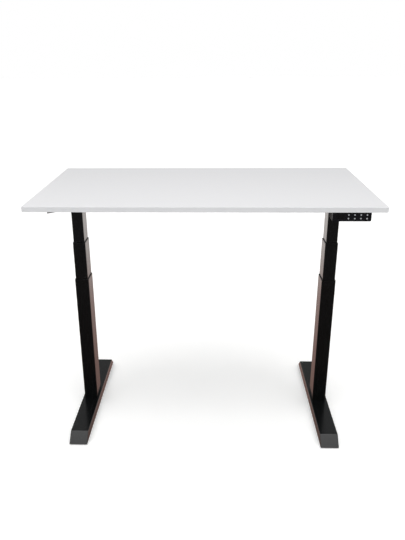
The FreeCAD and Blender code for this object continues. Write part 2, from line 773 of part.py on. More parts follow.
def make_fasteners():
    pads = []
    bolts = []
    for sign in SIDES.values():
        for y in PAD_YS:
            x = f"{sign} * screw_x"
            pads.append(block(f"{x} - pad_half", f"{x} + pad_half", f"{y} - pad_half", f"{y} + pad_half",
                              FRAME_TOP, UNDERSIDE))
        for j in (-1, 1):
            for x in ("rail_bolt_near", "rail_bolt_far"):
                spot = (f"{sign} * {x}", f"{j} * {RAIL_Y}")
                bottom = f"({RAIL_TOP} - rail_height)"
                head = cut(rod(*spot, f"{bottom} - bolt_head_height", "bolt_head", "bolt_head_height"),
                           rod(*spot, f"{bottom} - bolt_head_height", "bolt_socket", "bolt_socket_depth"))
                bolts.append(fuse(head, rod(*spot, bottom, "bolt_radius", "rail_height + frame_sheet")))
            bolts += [cross_bolt(f"{sign} * {x}", j) for x in ("head_bolt_near", "head_bolt_far")]
    keep(group(*pads), "rubber_pads")
    keep(group(*bolts), "frame_bolts")

    screws = []
    for x, y in wood_screw_places():
        head = doc.addObject("Part::Cone", "Head")
        bind(head, Radius1="screw_head - screw_head_taper", Radius2="screw_head", Height="screw_head_height")
        place(head, x, y, f"{RAIL_TOP} - screw_head_height")
        screws.append(fuse(head, rod(x, y, RAIL_TOP, "screw_radius", "screw_length")))
    keep(group(*screws), "wood_screws")


# Control box ---------------------------------------------------------------------------------------


def make_control_box():
    half = "box_length / 2"
    back = "(box_front + box_depth)"
    middle = "(box_front + box_depth / 2)"
    bottom = f"({UNDERSIDE} - box_height)"
    ear_bottom = f"({UNDERSIDE} - ear_thickness)"
    ear_ends = ((f"-({half} + ear)", f"-({half}) + overlap"), (f"{half} - overlap", f"{half} + ear"))
    ears = [block(*ends, f"{middle} - box_ear / 2", f"{middle} + box_ear / 2", ear_bottom, UNDERSIDE)
            for ends in ear_ends]
    ear_holes = [ear_hole(x, y) for x, y in box_screw_places()]
    cavity = block(f"-({half}) + box_wall", f"{half} - box_wall", "box_front + box_wall",
                   f"{back} - box_wall", f"{bottom} - overlap", f"{UNDERSIDE} - box_wall")
    windows = [block(f"{x} - box_window / 2", f"{x} + box_window / 2",
                     "box_front - overlap", "box_front + box_wall + overlap",
                     f"{bottom} + box_window_low", f"{bottom} + box_window_high")
               for x in BOX_SOCKET_XS]
    inlet_ys = ("inlet_y - inlet_width / 2", "inlet_y + inlet_width / 2")
    inlet_zs = (f"{bottom} + inlet_low", f"{bottom} + inlet_low + inlet_height")
    inlet_window = block(f"-({half}) - overlap", f"-({half}) + box_wall + overlap", *inlet_ys, *inlet_zs)
    shell = cut(fuse(block(f"-({half})", half, "box_front", back, bottom, UNDERSIDE), *ears),
                cavity, inlet_window, *windows, *ear_holes)
    keep(shell, "control_box_housing")
    keep(block(f"-({half})", half, "box_front", back, f"{bottom} - box_lid", bottom), "control_box_lid")

    board_bottom = f"({bottom} + board_low)"
    board_top = f"({board_bottom} + circuit_board)"
    board = block(f"-({half}) + board_left_gap", f"{half} - board_gap", "box_front + board_front_gap",
                  f"{back} - board_gap", board_bottom, board_top)
    sockets = []
    for x in BOX_SOCKET_XS:
        outside = (f"{x} - socket_width / 2", f"{x} + socket_width / 2")
        mouth = (f"{x} - socket_mouth / 2", f"{x} + socket_mouth / 2")
        body = block(*outside, "box_front - socket_proud", "box_front + socket_back",
                     f"{bottom} + socket_low", f"{bottom} + socket_high")
        sockets.append(cut(body, block(*mouth, "box_front - overlap", "box_front + socket_mouth_depth",
                                       f"{bottom} + socket_mouth_low", f"{bottom} + socket_mouth_high")))
        sockets.append(block(*outside, "box_front + board_front_gap", "box_front + socket_back",
                             f"{board_bottom} + overlap", f"{bottom} + socket_low + overlap"))
    transformer = block("transformer_left", "transformer_left + transformer_size",
                        f"{middle} - transformer_depth / 2", f"{middle} + transformer_depth / 2",
                        f"{board_bottom} + overlap", f"{bottom} + transformer_top")
    keep(fuse(board, transformer, *sockets), "control_circuit_board")

    depth = f"-({half}) + inlet_depth"
    inlet = cut(block(f"-({half}) - overlap", depth, *inlet_ys, *inlet_zs),
                block(f"-({half}) - 2 * overlap", f"{depth} - 2 * box_wall",
                      f"{inlet_ys[0]} + inlet_wall", f"{inlet_ys[1]} - inlet_wall",
                      f"{inlet_zs[0]} + inlet_wall", f"{inlet_zs[1]} - inlet_wall"))
    pins = [block(f"-({half}) + pin_start", f"{depth} - pin_root",
                  f"inlet_y + {y} - pin_thickness / 2", f"inlet_y + {y} + pin_thickness / 2",
                  f"{bottom} + pin_low + {z}", f"{bottom} + pin_high + {z}")
            for y, z in INLET_PINS]
    keep(fuse(inlet, *pins), "power_inlet")


# Handset -------------------------------------------------------------------------------------------


def round_low_corners(solid):
    """Rounds the two lower edges of a block that run from front to back."""
    doc.recompute()
    rounded = doc.addObject("Part::Fillet", "Rounded")
    rounded.Base = solid
    floor = solid.Shape.BoundBox.ZMin

    def is_low_corner(edge):
        front, rear = edge.Vertexes
        return abs(front.Y - rear.Y) > 1e-3 and max(front.Z, rear.Z) < floor + 1e-3
    rounded.Edges = [(i, SIZES["handset_round"], SIZES["handset_round"])
                     for i, edge in enumerate(solid.Shape.Edges, start=1) if is_low_corner(edge)]
    return rounded


def make_handset():
    right = f"({HANDSET_LEFT} + handset_length)"
    front = "(-handset_front)"
    rear = f"({front} + handset_depth)"
    bottom = f"({UNDERSIDE} - handset_height)"
    shell = round_low_corners(block(HANDSET_LEFT, right, f"{front} + front_plate", rear, bottom, UNDERSIDE))
    cavity = block(f"{HANDSET_LEFT} + handset_wall", f"{right} - handset_wall",
                   f"{front} + front_plate - overlap", f"{rear} - handset_wall",
                   f"{bottom} + handset_wall", f"{UNDERSIDE} - handset_wall")
    screws = handset_screw_places()
    ears = [block(f"{x} - ear / 2", f"{x} + ear / 2", f"{rear} - overlap", f"{rear} + ear",
                  f"{UNDERSIDE} - ear_thickness", UNDERSIDE) for x, _ in screws]
    holes = [ear_hole(x, y) for x, y in screws]
    keep(cut(fuse(shell, *ears), cavity, *holes), "handset_housing")

    spots = {}
    for name, column, line in BUTTONS:
        x = f"(handset_x - button_first + {column} * button_pitch)"
        spots[name] = (x, f"({UNDERSIDE} - button_upper - {line} * button_rows)")
    plate = round_low_corners(block(HANDSET_LEFT, right, front, f"{front} + front_plate", bottom, UNDERSIDE))
    openings = [rod(x, f"{front} - overlap", z, "button_radius + loose_play",
                    "front_plate + 2 * overlap", "y")
                for x, z in spots.values()]
    keep(cut(plate, *openings), "handset_front_plate")

    for name, (x, z) in spots.items():
        cap = rod(x, f"{front} - button_proud", z, "button_radius", "button_proud + front_plate", "y")
        skirt = rod(x, f"{front} + front_plate + loose_play", z, "button_skirt",
                    "button_skirt_thickness", "y")
        neck = rod(x, f"{front} + front_plate - overlap", z, "button_neck", "2 * overlap", "y")
        keep(fuse(cap, neck, skirt), name)
    board_front = f"({front} + front_plate + keypad_board_gap)"
    board = block(f"{HANDSET_LEFT} + keypad_board_inset", f"{right} - keypad_board_inset",
                  board_front, f"{board_front} + circuit_board",
                  f"{bottom} + keypad_board_edge", f"{UNDERSIDE} - keypad_board_edge")
    switches = [block(f"{x} - switch_half", f"{x} + switch_half",
                      f"{board_front} - switch_height", board_front,
                      f"{z} - switch_half", f"{z} + switch_half")
                for x, z in spots.values()]
    keep(fuse(board, *switches), "handset_circuit_board")


def main():
    make_board()
    for side, sign in SIDES.items():
        make_column(side, sign)
        make_foot(side, sign)
        make_bracket(side, sign)
        make_head(side, sign)
    make_rail("crossbeam_front_rail", -1)
    make_rail("crossbeam_back_rail", 1)
    make_fasteners()
    make_control_box()
    make_handset()
    doc.recompute()


def check_and_export():
    """Every object computed, every sub-part a valid shape; then one file for each sub-part."""
    failed = [thing.Label for thing in doc.Objects if {"Invalid", "Error"} & set(thing.State)]
    if failed:
        raise RuntimeError(f"failed objects: {failed}")
    os.makedirs("parts", exist_ok=True)
    for thing in nodes:
        shape = thing.Shape
        if shape.isNull() or not shape.isValid() or shape.Volume <= 0:
            raise RuntimeError(f"{thing.Label} has no valid shape")
    for thing in nodes:
        thing.Shape.exportStep(f"parts/{thing.Label}.step")
        box = thing.Shape.BoundBox
        print(f"{thing.Label:28s} solids {len(thing.Shape.Solids):2d}"
              f"  volume {thing.Shape.Volume / 1000:9.2f} cm3"
              f"  x {box.XMin:8.2f} {box.XMax:8.2f}  y {box.YMin:8.2f} {box.YMax:8.2f}"
              f"  z {box.ZMin:7.2f} {box.ZMax:7.2f}")
    print(len(nodes), "sub-parts")


main()
check_and_export()
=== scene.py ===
"""Height adjustable standing desk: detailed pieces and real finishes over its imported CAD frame.

White melamine board, black powder-coated steel frame, two three-stage telescopic columns.
Everything is in metres, in the frame of the CAD model.
"""

import json
import logging
import math
from collections.abc import Callable, Iterable, Sequence
from dataclasses import dataclass, field
from enum import Enum
from typing import Any

import bmesh
import bpy
from mathutils import Matrix, Vector


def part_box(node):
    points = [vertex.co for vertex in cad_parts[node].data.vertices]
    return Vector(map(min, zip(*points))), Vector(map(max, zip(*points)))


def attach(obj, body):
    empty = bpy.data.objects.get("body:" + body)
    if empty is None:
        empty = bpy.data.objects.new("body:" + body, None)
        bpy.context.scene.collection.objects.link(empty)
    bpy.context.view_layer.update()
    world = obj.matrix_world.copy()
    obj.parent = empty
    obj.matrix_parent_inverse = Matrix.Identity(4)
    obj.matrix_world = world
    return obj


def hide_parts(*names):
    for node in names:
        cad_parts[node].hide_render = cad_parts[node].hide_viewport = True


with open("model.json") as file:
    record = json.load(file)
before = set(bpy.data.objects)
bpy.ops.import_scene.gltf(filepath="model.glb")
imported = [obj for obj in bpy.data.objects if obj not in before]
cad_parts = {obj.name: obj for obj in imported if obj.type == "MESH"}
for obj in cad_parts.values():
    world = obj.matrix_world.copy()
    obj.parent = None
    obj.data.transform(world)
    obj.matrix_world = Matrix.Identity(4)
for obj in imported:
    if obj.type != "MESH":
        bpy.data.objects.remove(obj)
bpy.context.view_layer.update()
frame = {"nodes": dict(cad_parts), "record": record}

MM = 0.001
# Two points nearer than this are one point.
SAME = 1e-6
LOG = logging.getLogger("desk")


class Side(Enum):
    """The desk's two ends, as seen by the person who works at it."""

    LEFT = ("left", -1.0)
    RIGHT = ("right", 1.0)

    @property
    def label(self) -> str:
        """The word that node and body names use."""
        return self.value[0]

    @property
    def sign(self) -> float:
        """Which way this end lies along X."""
        return self.value[1]

    @property
    def inward(self) -> "Along":
        """The way from this end to the middle of the desk."""
        return Along.LEFT if self is Side.RIGHT else Along.RIGHT

    def faces(self, node: str) -> tuple[float, float]:
        """Where a node's inner and outer faces are along X.

        Args:
            node: The CAD node's name.

        Returns:
            The place of the face nearest to the desk's middle, and of the one furthest from it.
        """
        low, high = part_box(node)
        return (low.x, high.x) if self is Side.RIGHT else (high.x, low.x)


class Recess(Enum):
    """The drive in a fastener's head."""

    SOCKET = "socket"
    CROSS = "cross"


class Along(Enum):
    """The way that a turned piece or a fastener's head points."""

    RIGHT = (1.0, 0.0, 0.0)
    LEFT = (-1.0, 0.0, 0.0)
    BACK = (0.0, 1.0, 0.0)
    FRONT = (0.0, -1.0, 0.0)
    UP = (0.0, 0.0, 1.0)
    DOWN = (0.0, 0.0, -1.0)

    def turn(self) -> Matrix:
        """The rotation that takes +Z to this direction."""
        return Vector(self.value).to_track_quat("Z", "Y").to_matrix().to_4x4()


# Finishes --------------------------------------------------------------------------------------

# Numbers of a Mix node's sockets, whose names repeat for numbers and for colours.
MIX_SHARE = 0
MIX_NUMBER_A, MIX_NUMBER_B = 2, 3
MIX_COLOUR_A, MIX_COLOUR_B = 6, 7
MIX_COLOUR_OUT = 2


def linear(code: str) -> tuple[float, float, float, float]:
    """Turns an sRGB hex colour to linear light.

    Args:
        code: Six hex digits, with or without a leading "#".

    Returns:
        Red, green, blue and an alpha of 1.
    """
    channels = [int(code.lstrip("#")[i:i + 2], 16) / 255 for i in (0, 2, 4)]
    red, green, blue = [c / 12.92 if c <= 0.04045 else ((c + 0.055) / 1.055) ** 2.4 for c in channels]
    return red, green, blue, 1.0


def add_node(tree: bpy.types.NodeTree, kind: str, inputs: dict[str | int, Any] | None = None,
             **settings: Any) -> bpy.types.Node:
    """Adds a shader node with its settings, and fills or links its inputs.

    Args:
        tree: The node tree that gets it.
        kind: The node's type, without "ShaderNode".
        inputs: For each input's name or number, a value or the output that feeds it.
        **settings: Properties of the node itself.

    Returns:
        The new node.
    """
    node = tree.nodes.new("ShaderNode" + kind)
    for name, value in settings.items():
        setattr(node, name, value)
    for name, value in (inputs or {}).items():
        if isinstance(value, bpy.types.NodeSocket):
            tree.links.new(value, node.inputs[name])
        else:
            node.inputs[name].default_value = value
    return node


@dataclass(frozen=True)
class Finish:
    """A real finish: its colour, its gloss, and the fine and broad texture of its surface."""

    name: str
    colour: str
    shade: str
    roughness: float
    ior: float = 1.5
    metallic: float = 0.0
    grain_mm: float = 1.5
    relief_mm: float = 0.02
    patch_mm: float = 70.0
    gloss_change: float = 0.05
    stretch: tuple[float, float, float] = (1.0, 1.0, 1.0)
    coat: float = 0.0
    coat_roughness: float = 0.1
    anisotropic: float = 0.0
    specular: float = 0.5
    grain_share: float = 0.4

    def grain(self, tree: bpy.types.NodeTree, place: bpy.types.NodeSocket) -> bpy.types.NodeSocket:
        """Draws the fine texture, from 0 in its hollows to 1 on its crests.

        Args:
            tree: The material's node tree.
            place: The point on the surface, in metres.

        Returns:
            The output that carries the texture's height.
        """
        stretched = add_node(tree, "Mapping", {"Vector": place, "Scale": self.stretch})
        noise = add_node(tree, "TexNoise", {
            "Vector": stretched.outputs[0], "Scale": 1 / (self.grain_mm * MM),
            "Detail": 3.0, "Roughness": 0.55})
        return noise.outputs["Fac"]

    def tint(self, tree: bpy.types.NodeTree, place: bpy.types.NodeSocket,
             grain: bpy.types.NodeSocket) -> bpy.types.NodeSocket:
        """Mixes the finish's two tones, in broad patches and a little with the grain.

        Args:
            tree: The material's node tree.
            place: The point on the surface, in metres.
            grain: The fine texture's height.

        Returns:
            The output that carries the colour.
        """
        patches = add_node(tree, "TexNoise", {
            "Vector": place, "Scale": 1 / (self.patch_mm * MM), "Detail": 2.0}).outputs["Fac"]
        broad = add_node(tree, "Math", {0: patches, 1: 1 - self.grain_share}, operation="MULTIPLY")
        share = add_node(tree, "Math", {0: grain, 1: self.grain_share, 2: broad.outputs[0]},
                         operation="MULTIPLY_ADD")
        mixed = add_node(tree, "Mix", {
            MIX_SHARE: share.outputs[0], MIX_COLOUR_A: linear(self.colour), MIX_COLOUR_B: linear(self.shade)},
            data_type="RGBA")
        return mixed.outputs[MIX_COLOUR_OUT]

    def make(self) -> bpy.types.Material:
        """Builds the material, or gives the one already built.

        Returns:
            The material, named for the finish.
        """
        known = bpy.data.materials.get(self.name)
        if known:
            return known
        material = bpy.data.materials.new(self.name)
        material.use_nodes = True
        tree = material.node_tree
        tree.nodes.clear()
        place = add_node(tree, "TexCoord").outputs["Object"]
        grain = self.grain(tree, place)
        gloss = add_node(tree, "MapRange", {"Value": grain, "To Min": self.roughness - self.gloss_change,
                                            "To Max": self.roughness + self.gloss_change})
        relief = add_node(tree, "Bump", {"Height": grain, "Distance": self.relief_mm * MM, "Strength": 1.0})
        shader = add_node(tree, "BsdfPrincipled", {
            "Base Color": self.tint(tree, place, grain), "Roughness": gloss.outputs[0],
            "Normal": relief.outputs[0], "Metallic": self.metallic, "IOR": self.ior,
            "Specular IOR Level": self.specular, "Coat Weight": self.coat,
            "Coat Roughness": self.coat_roughness, "Anisotropic": self.anisotropic})
        add_node(tree, "OutputMaterial", {"Surface": shader.outputs[0]})
        return material


@dataclass(frozen=True)
class PatternedBoard(Finish):
    """Solder mask over copper tracks: a grid of slightly raised, lighter lines under a green lacquer."""

    track_mm: float = 2.5
    track_edges: tuple[float, float] = (0.42, 0.5)

    def grain(self, tree: bpy.types.NodeTree, place: bpy.types.NodeSocket) -> bpy.types.NodeSocket:
        """Draws the copper tracks as the edges of square cells.

        Args:
            tree: The material's node tree.
            place: The point on the surface, in metres.

        Returns:
            The output that carries the tracks' height.
        """
        cells = add_node(tree, "TexVoronoi", {"Vector": place, "Scale": 1 / (self.track_mm * MM)},
                         feature="F1", distance="CHEBYCHEV")
        start, end = self.track_edges
        track = add_node(tree, "MapRange", {
            "Value": cells.outputs["Distance"], "From Min": start, "From Max": end})
        return track.outputs[0]


# A hard, closed melamine skin over particleboard, pressed with a fine pearl texture: an even matt white with
# a soft, broad sheen.  The real pearls are 0.3 mm wide; they are drawn at 1.2 mm so that they show at all.
MELAMINE = Finish("melamine_facing_pearl_white", "#d4d4d5", "#d2d2d4", 0.42, ior=1.5, grain_mm=1.2,
                  relief_mm=0.012, patch_mm=260, gloss_change=0.04)
# Extruded ABS edge band, buffed after trimming: a little smoother and lighter than the facing.
EDGE_BAND = Finish("abs_edge_band_white", "#d9d9db", "#d3d4d6", 0.34, ior=1.53, grain_mm=0.8, relief_mm=0.01,
                   patch_mm=90, stretch=(0.15, 0.15, 1.0))
# Polyester powder baked on steel: near black and satin, with the slight orange peel that the melt leaves.
POWDER_COAT = Finish("powder_coat_satin_black", "#08090a", "#0c0e0f", 0.18, ior=1.52, grain_mm=1.6,
                     relief_mm=0.02, patch_mm=120, gloss_change=0.04)
# Moulded nylon of the guide collars: dead black, slightly waxy.
NYLON = Finish("moulded_nylon_black", "#0b0b0b", "#121212", 0.45, ior=1.53, grain_mm=0.9, relief_mm=0.02)
# Machined acetal of the nut carriers: milky off-white, low gloss.
ACETAL = Finish("machined_acetal_natural", "#e6e4dc", "#dcd9cf", 0.38, ior=1.48, grain_mm=0.7, relief_mm=0.01,
                stretch=(1.0, 1.0, 0.05))
# Bright zinc plate, lightly passivated: grey with a cool cast and a fine frost.
ZINC = Finish("zinc_plate_bright", "#b9bdc2", "#9fa4aa", 0.34, metallic=1.0, grain_mm=0.6, relief_mm=0.008,
              patch_mm=12)
# Black oxide on the socket screws: dark, oily, softly metallic.
BLACK_OXIDE = Finish("black_oxide_steel", "#2a2a2c", "#1d1d1f", 0.38, metallic=1.0, grain_mm=0.5,
                     relief_mm=0.01, patch_mm=9)
# Thread rolled in carbon steel under a film of clear grease: bright crests, darker flanks.
ROLLED_STEEL = Finish("rolled_thread_steel_greased", "#a7a9ab", "#8a8b8c", 0.26, metallic=1.0, grain_mm=0.8,
                      relief_mm=0.01, patch_mm=25, coat=0.4, stretch=(1.0, 1.0, 0.4))
# Cold-drawn tube: long fine draw lines and a silky grey shine along them.
DRAWN_STEEL = Finish("cold_drawn_steel", "#a2a4a7", "#8f9194", 0.3, metallic=1.0, grain_mm=0.5, relief_mm=0.01,
                     patch_mm=60, stretch=(1.0, 1.0, 0.03), anisotropic=0.4)
# Glass-filled nylon gearbox: charcoal, with the faint fibre flow that dulls the skin.
GLASS_NYLON = Finish("glass_filled_nylon_charcoal", "#1a1b1c", "#232425", 0.5, ior=1.54, grain_mm=1.1,
                     relief_mm=0.04, stretch=(0.4, 1.0, 1.0))
# Stove enamel on the rolled motor can: smooth, glossy black over steel.
ENAMEL = Finish("stove_enamel_black", "#111113", "#17171a", 0.22, ior=1.5, grain_mm=2.5, relief_mm=0.02,
                patch_mm=45, coat=0.3)
# Moulded rubber of the glides: matt, faintly bloomed black.
GLIDE_RUBBER = Finish("moulded_rubber_black", "#141414", "#1f1f1e", 0.72, ior=1.52, grain_mm=0.8,
                      relief_mm=0.05, patch_mm=15)
# Cut cellular rubber under the board: soft charcoal with open pores.
PAD_RUBBER = Finish("cellular_rubber_charcoal", "#1b1b1b", "#2a2a2a", 0.85, ior=1.5, grain_mm=0.9,
                    relief_mm=0.15)
# Spark-eroded ABS mouldings: black, matt, with an even fine stipple.
TEXTURED_ABS = Finish("textured_abs_black", "#121214", "#18181a", 0.66, ior=1.46, grain_mm=0.8, relief_mm=0.08,
                      patch_mm=40, specular=0.15)
# Polished ABS face of the handset, blue-black and glossy, with the slightest ripple of the mould.
GLOSS_ABS = Finish("polished_abs_blue_black", "#08080d", "#0c0c12", 0.12, ior=1.53, grain_mm=6.0,
                   relief_mm=0.01, patch_mm=30, gloss_change=0.02)
# Smoked acrylic of the display window: deeper and glossier than the face around it.
SMOKED_ACRYLIC = Finish("smoked_acrylic", "#050506", "#08080a", 0.05, ior=1.49, grain_mm=9.0, relief_mm=0.004,
                        gloss_change=0.01)
# Silicone button caps with a soft-touch lacquer: light warm grey, matt.
BUTTON_LACQUER = Finish("soft_touch_lacquer_grey", "#a9abae", "#9c9ea2", 0.55, ior=1.45, grain_mm=0.5,
                        relief_mm=0.02, patch_mm=4)
# Green solder mask over copper tracks on glass epoxy: a glossy lacquer with raised lines.
SOLDER_MASK = PatternedBoard("solder_mask_green", "#0c3d22", "#16603a", 0.25, ior=1.5, relief_mm=0.03,
                             patch_mm=20)
# Polished black moulding of the mains inlet.
INLET_PLASTIC = Finish("moulded_pbt_black", "#101011", "#161618", 0.3, ior=1.57, grain_mm=0.8, relief_mm=0.02)
# Nickel-plated brass contacts: warm, bright, nearly mirror.
NICKEL = Finish("nickel_plate", "#cfc9bd", "#bdb6a8", 0.2, metallic=1.0, grain_mm=0.7, relief_mm=0.004,
                patch_mm=5)
# Seamless pale paper of the studio floor.
STUDIO_PAPER = Finish("studio_paper_white", "#f6f6f5", "#f3f3f2", 0.8, ior=1.2, grain_mm=8.0, relief_mm=0.02,
                      patch_mm=900)

SLOT_FINISHES: dict[str, Finish] = {
    "white_melamine": MELAMINE,
    "white_edge_band": EDGE_BAND,
    "black_powder_coat": POWDER_COAT,
    "black_nylon": NYLON,
    "white_acetal": ACETAL,
    "zinc_plated_steel": ZINC,
    "screw_steel": ROLLED_STEEL,
    "drive_tube_steel": DRAWN_STEEL,
    "gearbox_nylon": GLASS_NYLON,
    "motor_paint": ENAMEL,
    "glide_rubber": GLIDE_RUBBER,
    "pad_rubber": PAD_RUBBER,
    "control_box_abs": TEXTURED_ABS,
    "circuit_board": SOLDER_MASK,
    "inlet_plastic": INLET_PLASTIC,
    "handset_abs": TEXTURED_ABS,
    "handset_gloss": GLOSS_ABS,
    "button_grey": BUTTON_LACQUER,
}


# Making meshes ---------------------------------------------------------------------------------


class Form:
    """A mesh being made from closed shells, and what it takes to put it on the desk."""

    FLAT_WITHIN = math.radians(0.5)
    SHARP_BEYOND = math.radians(50)
    SMOOTH_UP_TO = math.radians(35)

    def __init__(self) -> None:
        """Starts with nothing in it."""
        self.mesh = bmesh.new()

    def take(self, part: bmesh.types.BMesh, turn: Matrix | None = None, at: Vector | None = None) -> "Form":
        """Puts a finished shell in place and adds it.

        Args:
            part: The shell, which is used up.
            turn: A rotation for it.
            at: Where its own origin goes.

        Returns:
            This form.
        """
        if turn is not None:
            bmesh.ops.transform(part, matrix=turn, verts=part.verts)
        if at is not None:
            bmesh.ops.translate(part, vec=at, verts=part.verts)
        between = bpy.data.meshes.new("between")
        part.to_mesh(between)
        part.free()
        self.mesh.from_mesh(between)
        bpy.data.meshes.remove(between)
        return self

    def block(self, low: Sequence[float], high: Sequence[float], ease: float = 0.0) -> "Form":
        """Adds a box with eased edges.

        Args:
            low: Its lowest corner.
            high: Its highest corner.
            ease: The rounding of its edges.

        Returns:
            This form.
        """
        low, high = Vector(low), Vector(high)
        part = bmesh.new()
        bmesh.ops.create_cube(part, size=1.0)
        bmesh.ops.scale(part, vec=high - low, verts=part.verts)
        if ease:
            bmesh.ops.bevel(part, geom=part.edges[:], offset=ease, segments=2, profile=0.5,
                            affect="EDGES", material=-1)
        return self.take(part, at=(low + high) / 2)

    def turned(self, profile: Sequence[tuple[float, float]], at: Sequence[float], along: Along = Along.UP,
               steps: int = 32) -> "Form":
        """Adds a turned solid.

        Args:
            profile: Points of radius and height, from the axis round the outside and back to it.
            at: Where the profile's origin goes.
            along: The way that its axis points.
            steps: Facets round the axis.

        Returns:
            This form.
        """
        part = bmesh.new()
        points = [part.verts.new((radius, 0.0, height)) for radius, height in profile]
        lines = [part.edges.new(pair) for pair in zip(points, points[1:])]
        bmesh.ops.spin(part, geom=points + lines, cent=(0, 0, 0), axis=(0, 0, 1), dvec=(0, 0, 0),
                       angle=2 * math.pi, steps=steps, use_merge=True, use_duplicate=False)
        bmesh.ops.remove_doubles(part, verts=part.verts, dist=SAME / 10)
        bmesh.ops.recalc_face_normals(part, faces=part.faces)
        return self.take(part, along.turn(), Vector(at))

    def thread(self, core: float, crest: float, lead: float, bottom: float, top: float, x: float,
               steps: int = 20) -> "Form":
        """Adds a rolled trapezoidal thread between two heights.

        Args:
            core: The radius at its root.
            crest: The radius at its crest.
            lead: How far it climbs in a turn.
            bottom: The height at which it starts.
            top: The height at which it ends.
            x: Where its axis is along the desk.
            steps: Facets in one turn.

        Returns:
            This form.
        """
        part = bmesh.new()
        shape = ((core, 0.0), (core, 0.28), (crest, 0.42), (crest, 0.86), (core, 1.0))
        points = [part.verts.new((radius, 0.0, share * lead)) for radius, share in shape]
        lines = [part.edges.new(pair) for pair in zip(points, points[1:])]
        turns = int((top - bottom) / lead) - 1
        bmesh.ops.spin(part, geom=points + lines, cent=(0, 0, 0), axis=(0, 0, 1),
                       dvec=(0, 0, lead / steps), angle=2 * math.pi * turns, steps=steps * turns,
                       use_merge=False, use_duplicate=False)
        bmesh.ops.remove_doubles(part, verts=part.verts, dist=SAME)
        bmesh.ops.holes_fill(part, edges=[edge for edge in part.edges if edge.is_boundary], sides=0)
        bmesh.ops.recalc_face_normals(part, faces=part.faces)
        return self.take(part, at=Vector((x, 0, bottom)))

    def eased_copy(self, node: str, ease: float, segments: int = 2) -> "Form":
        """Adds a CAD node's own shape with its sharp edges eased, as a mould or a press leaves them.

        Args:
            node: The CAD node's name.
            ease: The rounding of its sharp edges.
            segments: Facets in that rounding.

        Returns:
            This form.
        """
        part = bmesh.new()
        part.from_mesh(frame["nodes"][node].data)
        bmesh.ops.remove_doubles(part, verts=part.verts, dist=SAME)
        bmesh.ops.dissolve_limit(part, angle_limit=self.FLAT_WITHIN, verts=part.verts, edges=part.edges,
                                 delimit=set(), use_dissolve_boundaries=False)
        sharp = [edge for edge in part.edges if edge.is_manifold and edge.calc_face_angle() > self.SHARP_BEYOND]
        bmesh.ops.bevel(part, geom=sharp, offset=ease, segments=segments, profile=0.5, affect="EDGES",
                        material=-1, clamp_overlap=True)
        return self.take(part)

    def place(self, name: str, finish: Finish, body: str, slot: str,
              stands_for: Iterable[str] = ()) -> bpy.types.Object:
        """Makes the object: its finish, the body that it moves with, and the CAD nodes that it stands for.

        Args:
            name: The piece's name.
            finish: What it is finished in.
            body: The CAD body that it rides on.
            slot: The record's material slot that it belongs to; not used.
            stands_for: CAD nodes that it replaces.

        Returns:
            The new object.
        """
        data = bpy.data.meshes.new(name)
        self.mesh.to_mesh(data)
        self.mesh.free()
        data.shade_smooth()
        data.set_sharp_from_angle(angle=self.SMOOTH_UP_TO)
        piece = bpy.data.objects.new(name, data)
        bpy.context.scene.collection.objects.link(piece)
        data.materials.append(finish.make())
        piece.modifiers.new("flat faces shade flat", "WEIGHTED_NORMAL").keep_sharp = True
        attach(piece, body)
        for node in stands_for:
            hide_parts(node)
        LOG.info("%s: %d faces, in %s, rides on %s", name, len(data.polygons), finish.name, body)
        return piece


@dataclass(frozen=True)
class Fastener:
    """A screw: its head, the drive in it and its shank."""

    head_radius: float
    head_height: float
    shank_radius: float
    recess: Recess
    recess_radius: float
    recess_depth: float
    dome: float = 0.0
    facets: int = 24
    edge_share: float = 0.18
    cross_floor: float = 0.45

    def recess_reach(self, angle: float) -> float:
        """How far the recess reaches from the axis.

        Args:
            angle: The direction, in degrees.

        Returns:
            The distance, in metres.
        """
        if self.recess is Recess.SOCKET:
            from_flat = math.radians((angle + 30) % 60 - 30)
            return self.recess_radius * math.cos(math.radians(30)) / math.cos(from_flat)
        reach = {0: 1.0, 15: 0.9, 30: 0.42, 45: 0.3}
        from_arm = min(angle % 90, 90 - angle % 90)
        return self.recess_radius * reach[round(from_arm / 15) * 15]

    def add(self, form: Form, at: Sequence[float], along: Along, length: float, tip: float = 0.0) -> None:
        """Adds one such screw to a form.

        Args:
            form: What it goes into.
            at: The point under the head, on the screw's axis.
            along: The way that its head faces.
            length: How long the shank is.
            tip: How much of the shank tapers to a point.
        """
        part = bmesh.new()
        bmesh.ops.create_cone(part, cap_ends=True, segments=self.facets, radius1=self.head_radius,
                              radius2=self.head_radius, depth=self.head_height,
                              matrix=Matrix.Translation((0, 0, self.head_height / 2)))
        crown = max(part.faces, key=lambda face: face.calc_center_median().z)
        bmesh.ops.bevel(part, geom=list(crown.edges), offset=self.dome or self.head_height * self.edge_share,
                        segments=3, profile=0.5, affect="EDGES", material=-1)
        crown = max(part.faces, key=lambda face: (round(face.calc_center_median().z, 7), face.calc_area()))
        reach = max(vertex.co.xy.length for vertex in crown.verts)
        bmesh.ops.inset_region(part, faces=[crown], thickness=reach - self.recess_radius, depth=0.0)
        for vertex in crown.verts:
            angle = math.degrees(math.atan2(vertex.co.y, vertex.co.x)) % 360
            vertex.co.xy = vertex.co.xy.normalized() * self.recess_reach(angle)
        sunk = bmesh.ops.extrude_discrete_faces(part, faces=[crown])["faces"][0]
        bmesh.ops.translate(part, vec=(0, 0, -self.recess_depth), verts=sunk.verts)
        if self.recess is Recess.CROSS:
            bmesh.ops.scale(part, vec=(self.cross_floor, self.cross_floor, 1), verts=sunk.verts)
        form.take(part, along.turn(), Vector(at))
        profile = [(0.0, 0.0), (self.shank_radius, 0.0), (self.shank_radius, tip - length), (0.0, -length)]
        form.turned(profile, at, along, steps=12)


# Sub-assemblies --------------------------------------------------------------------------------


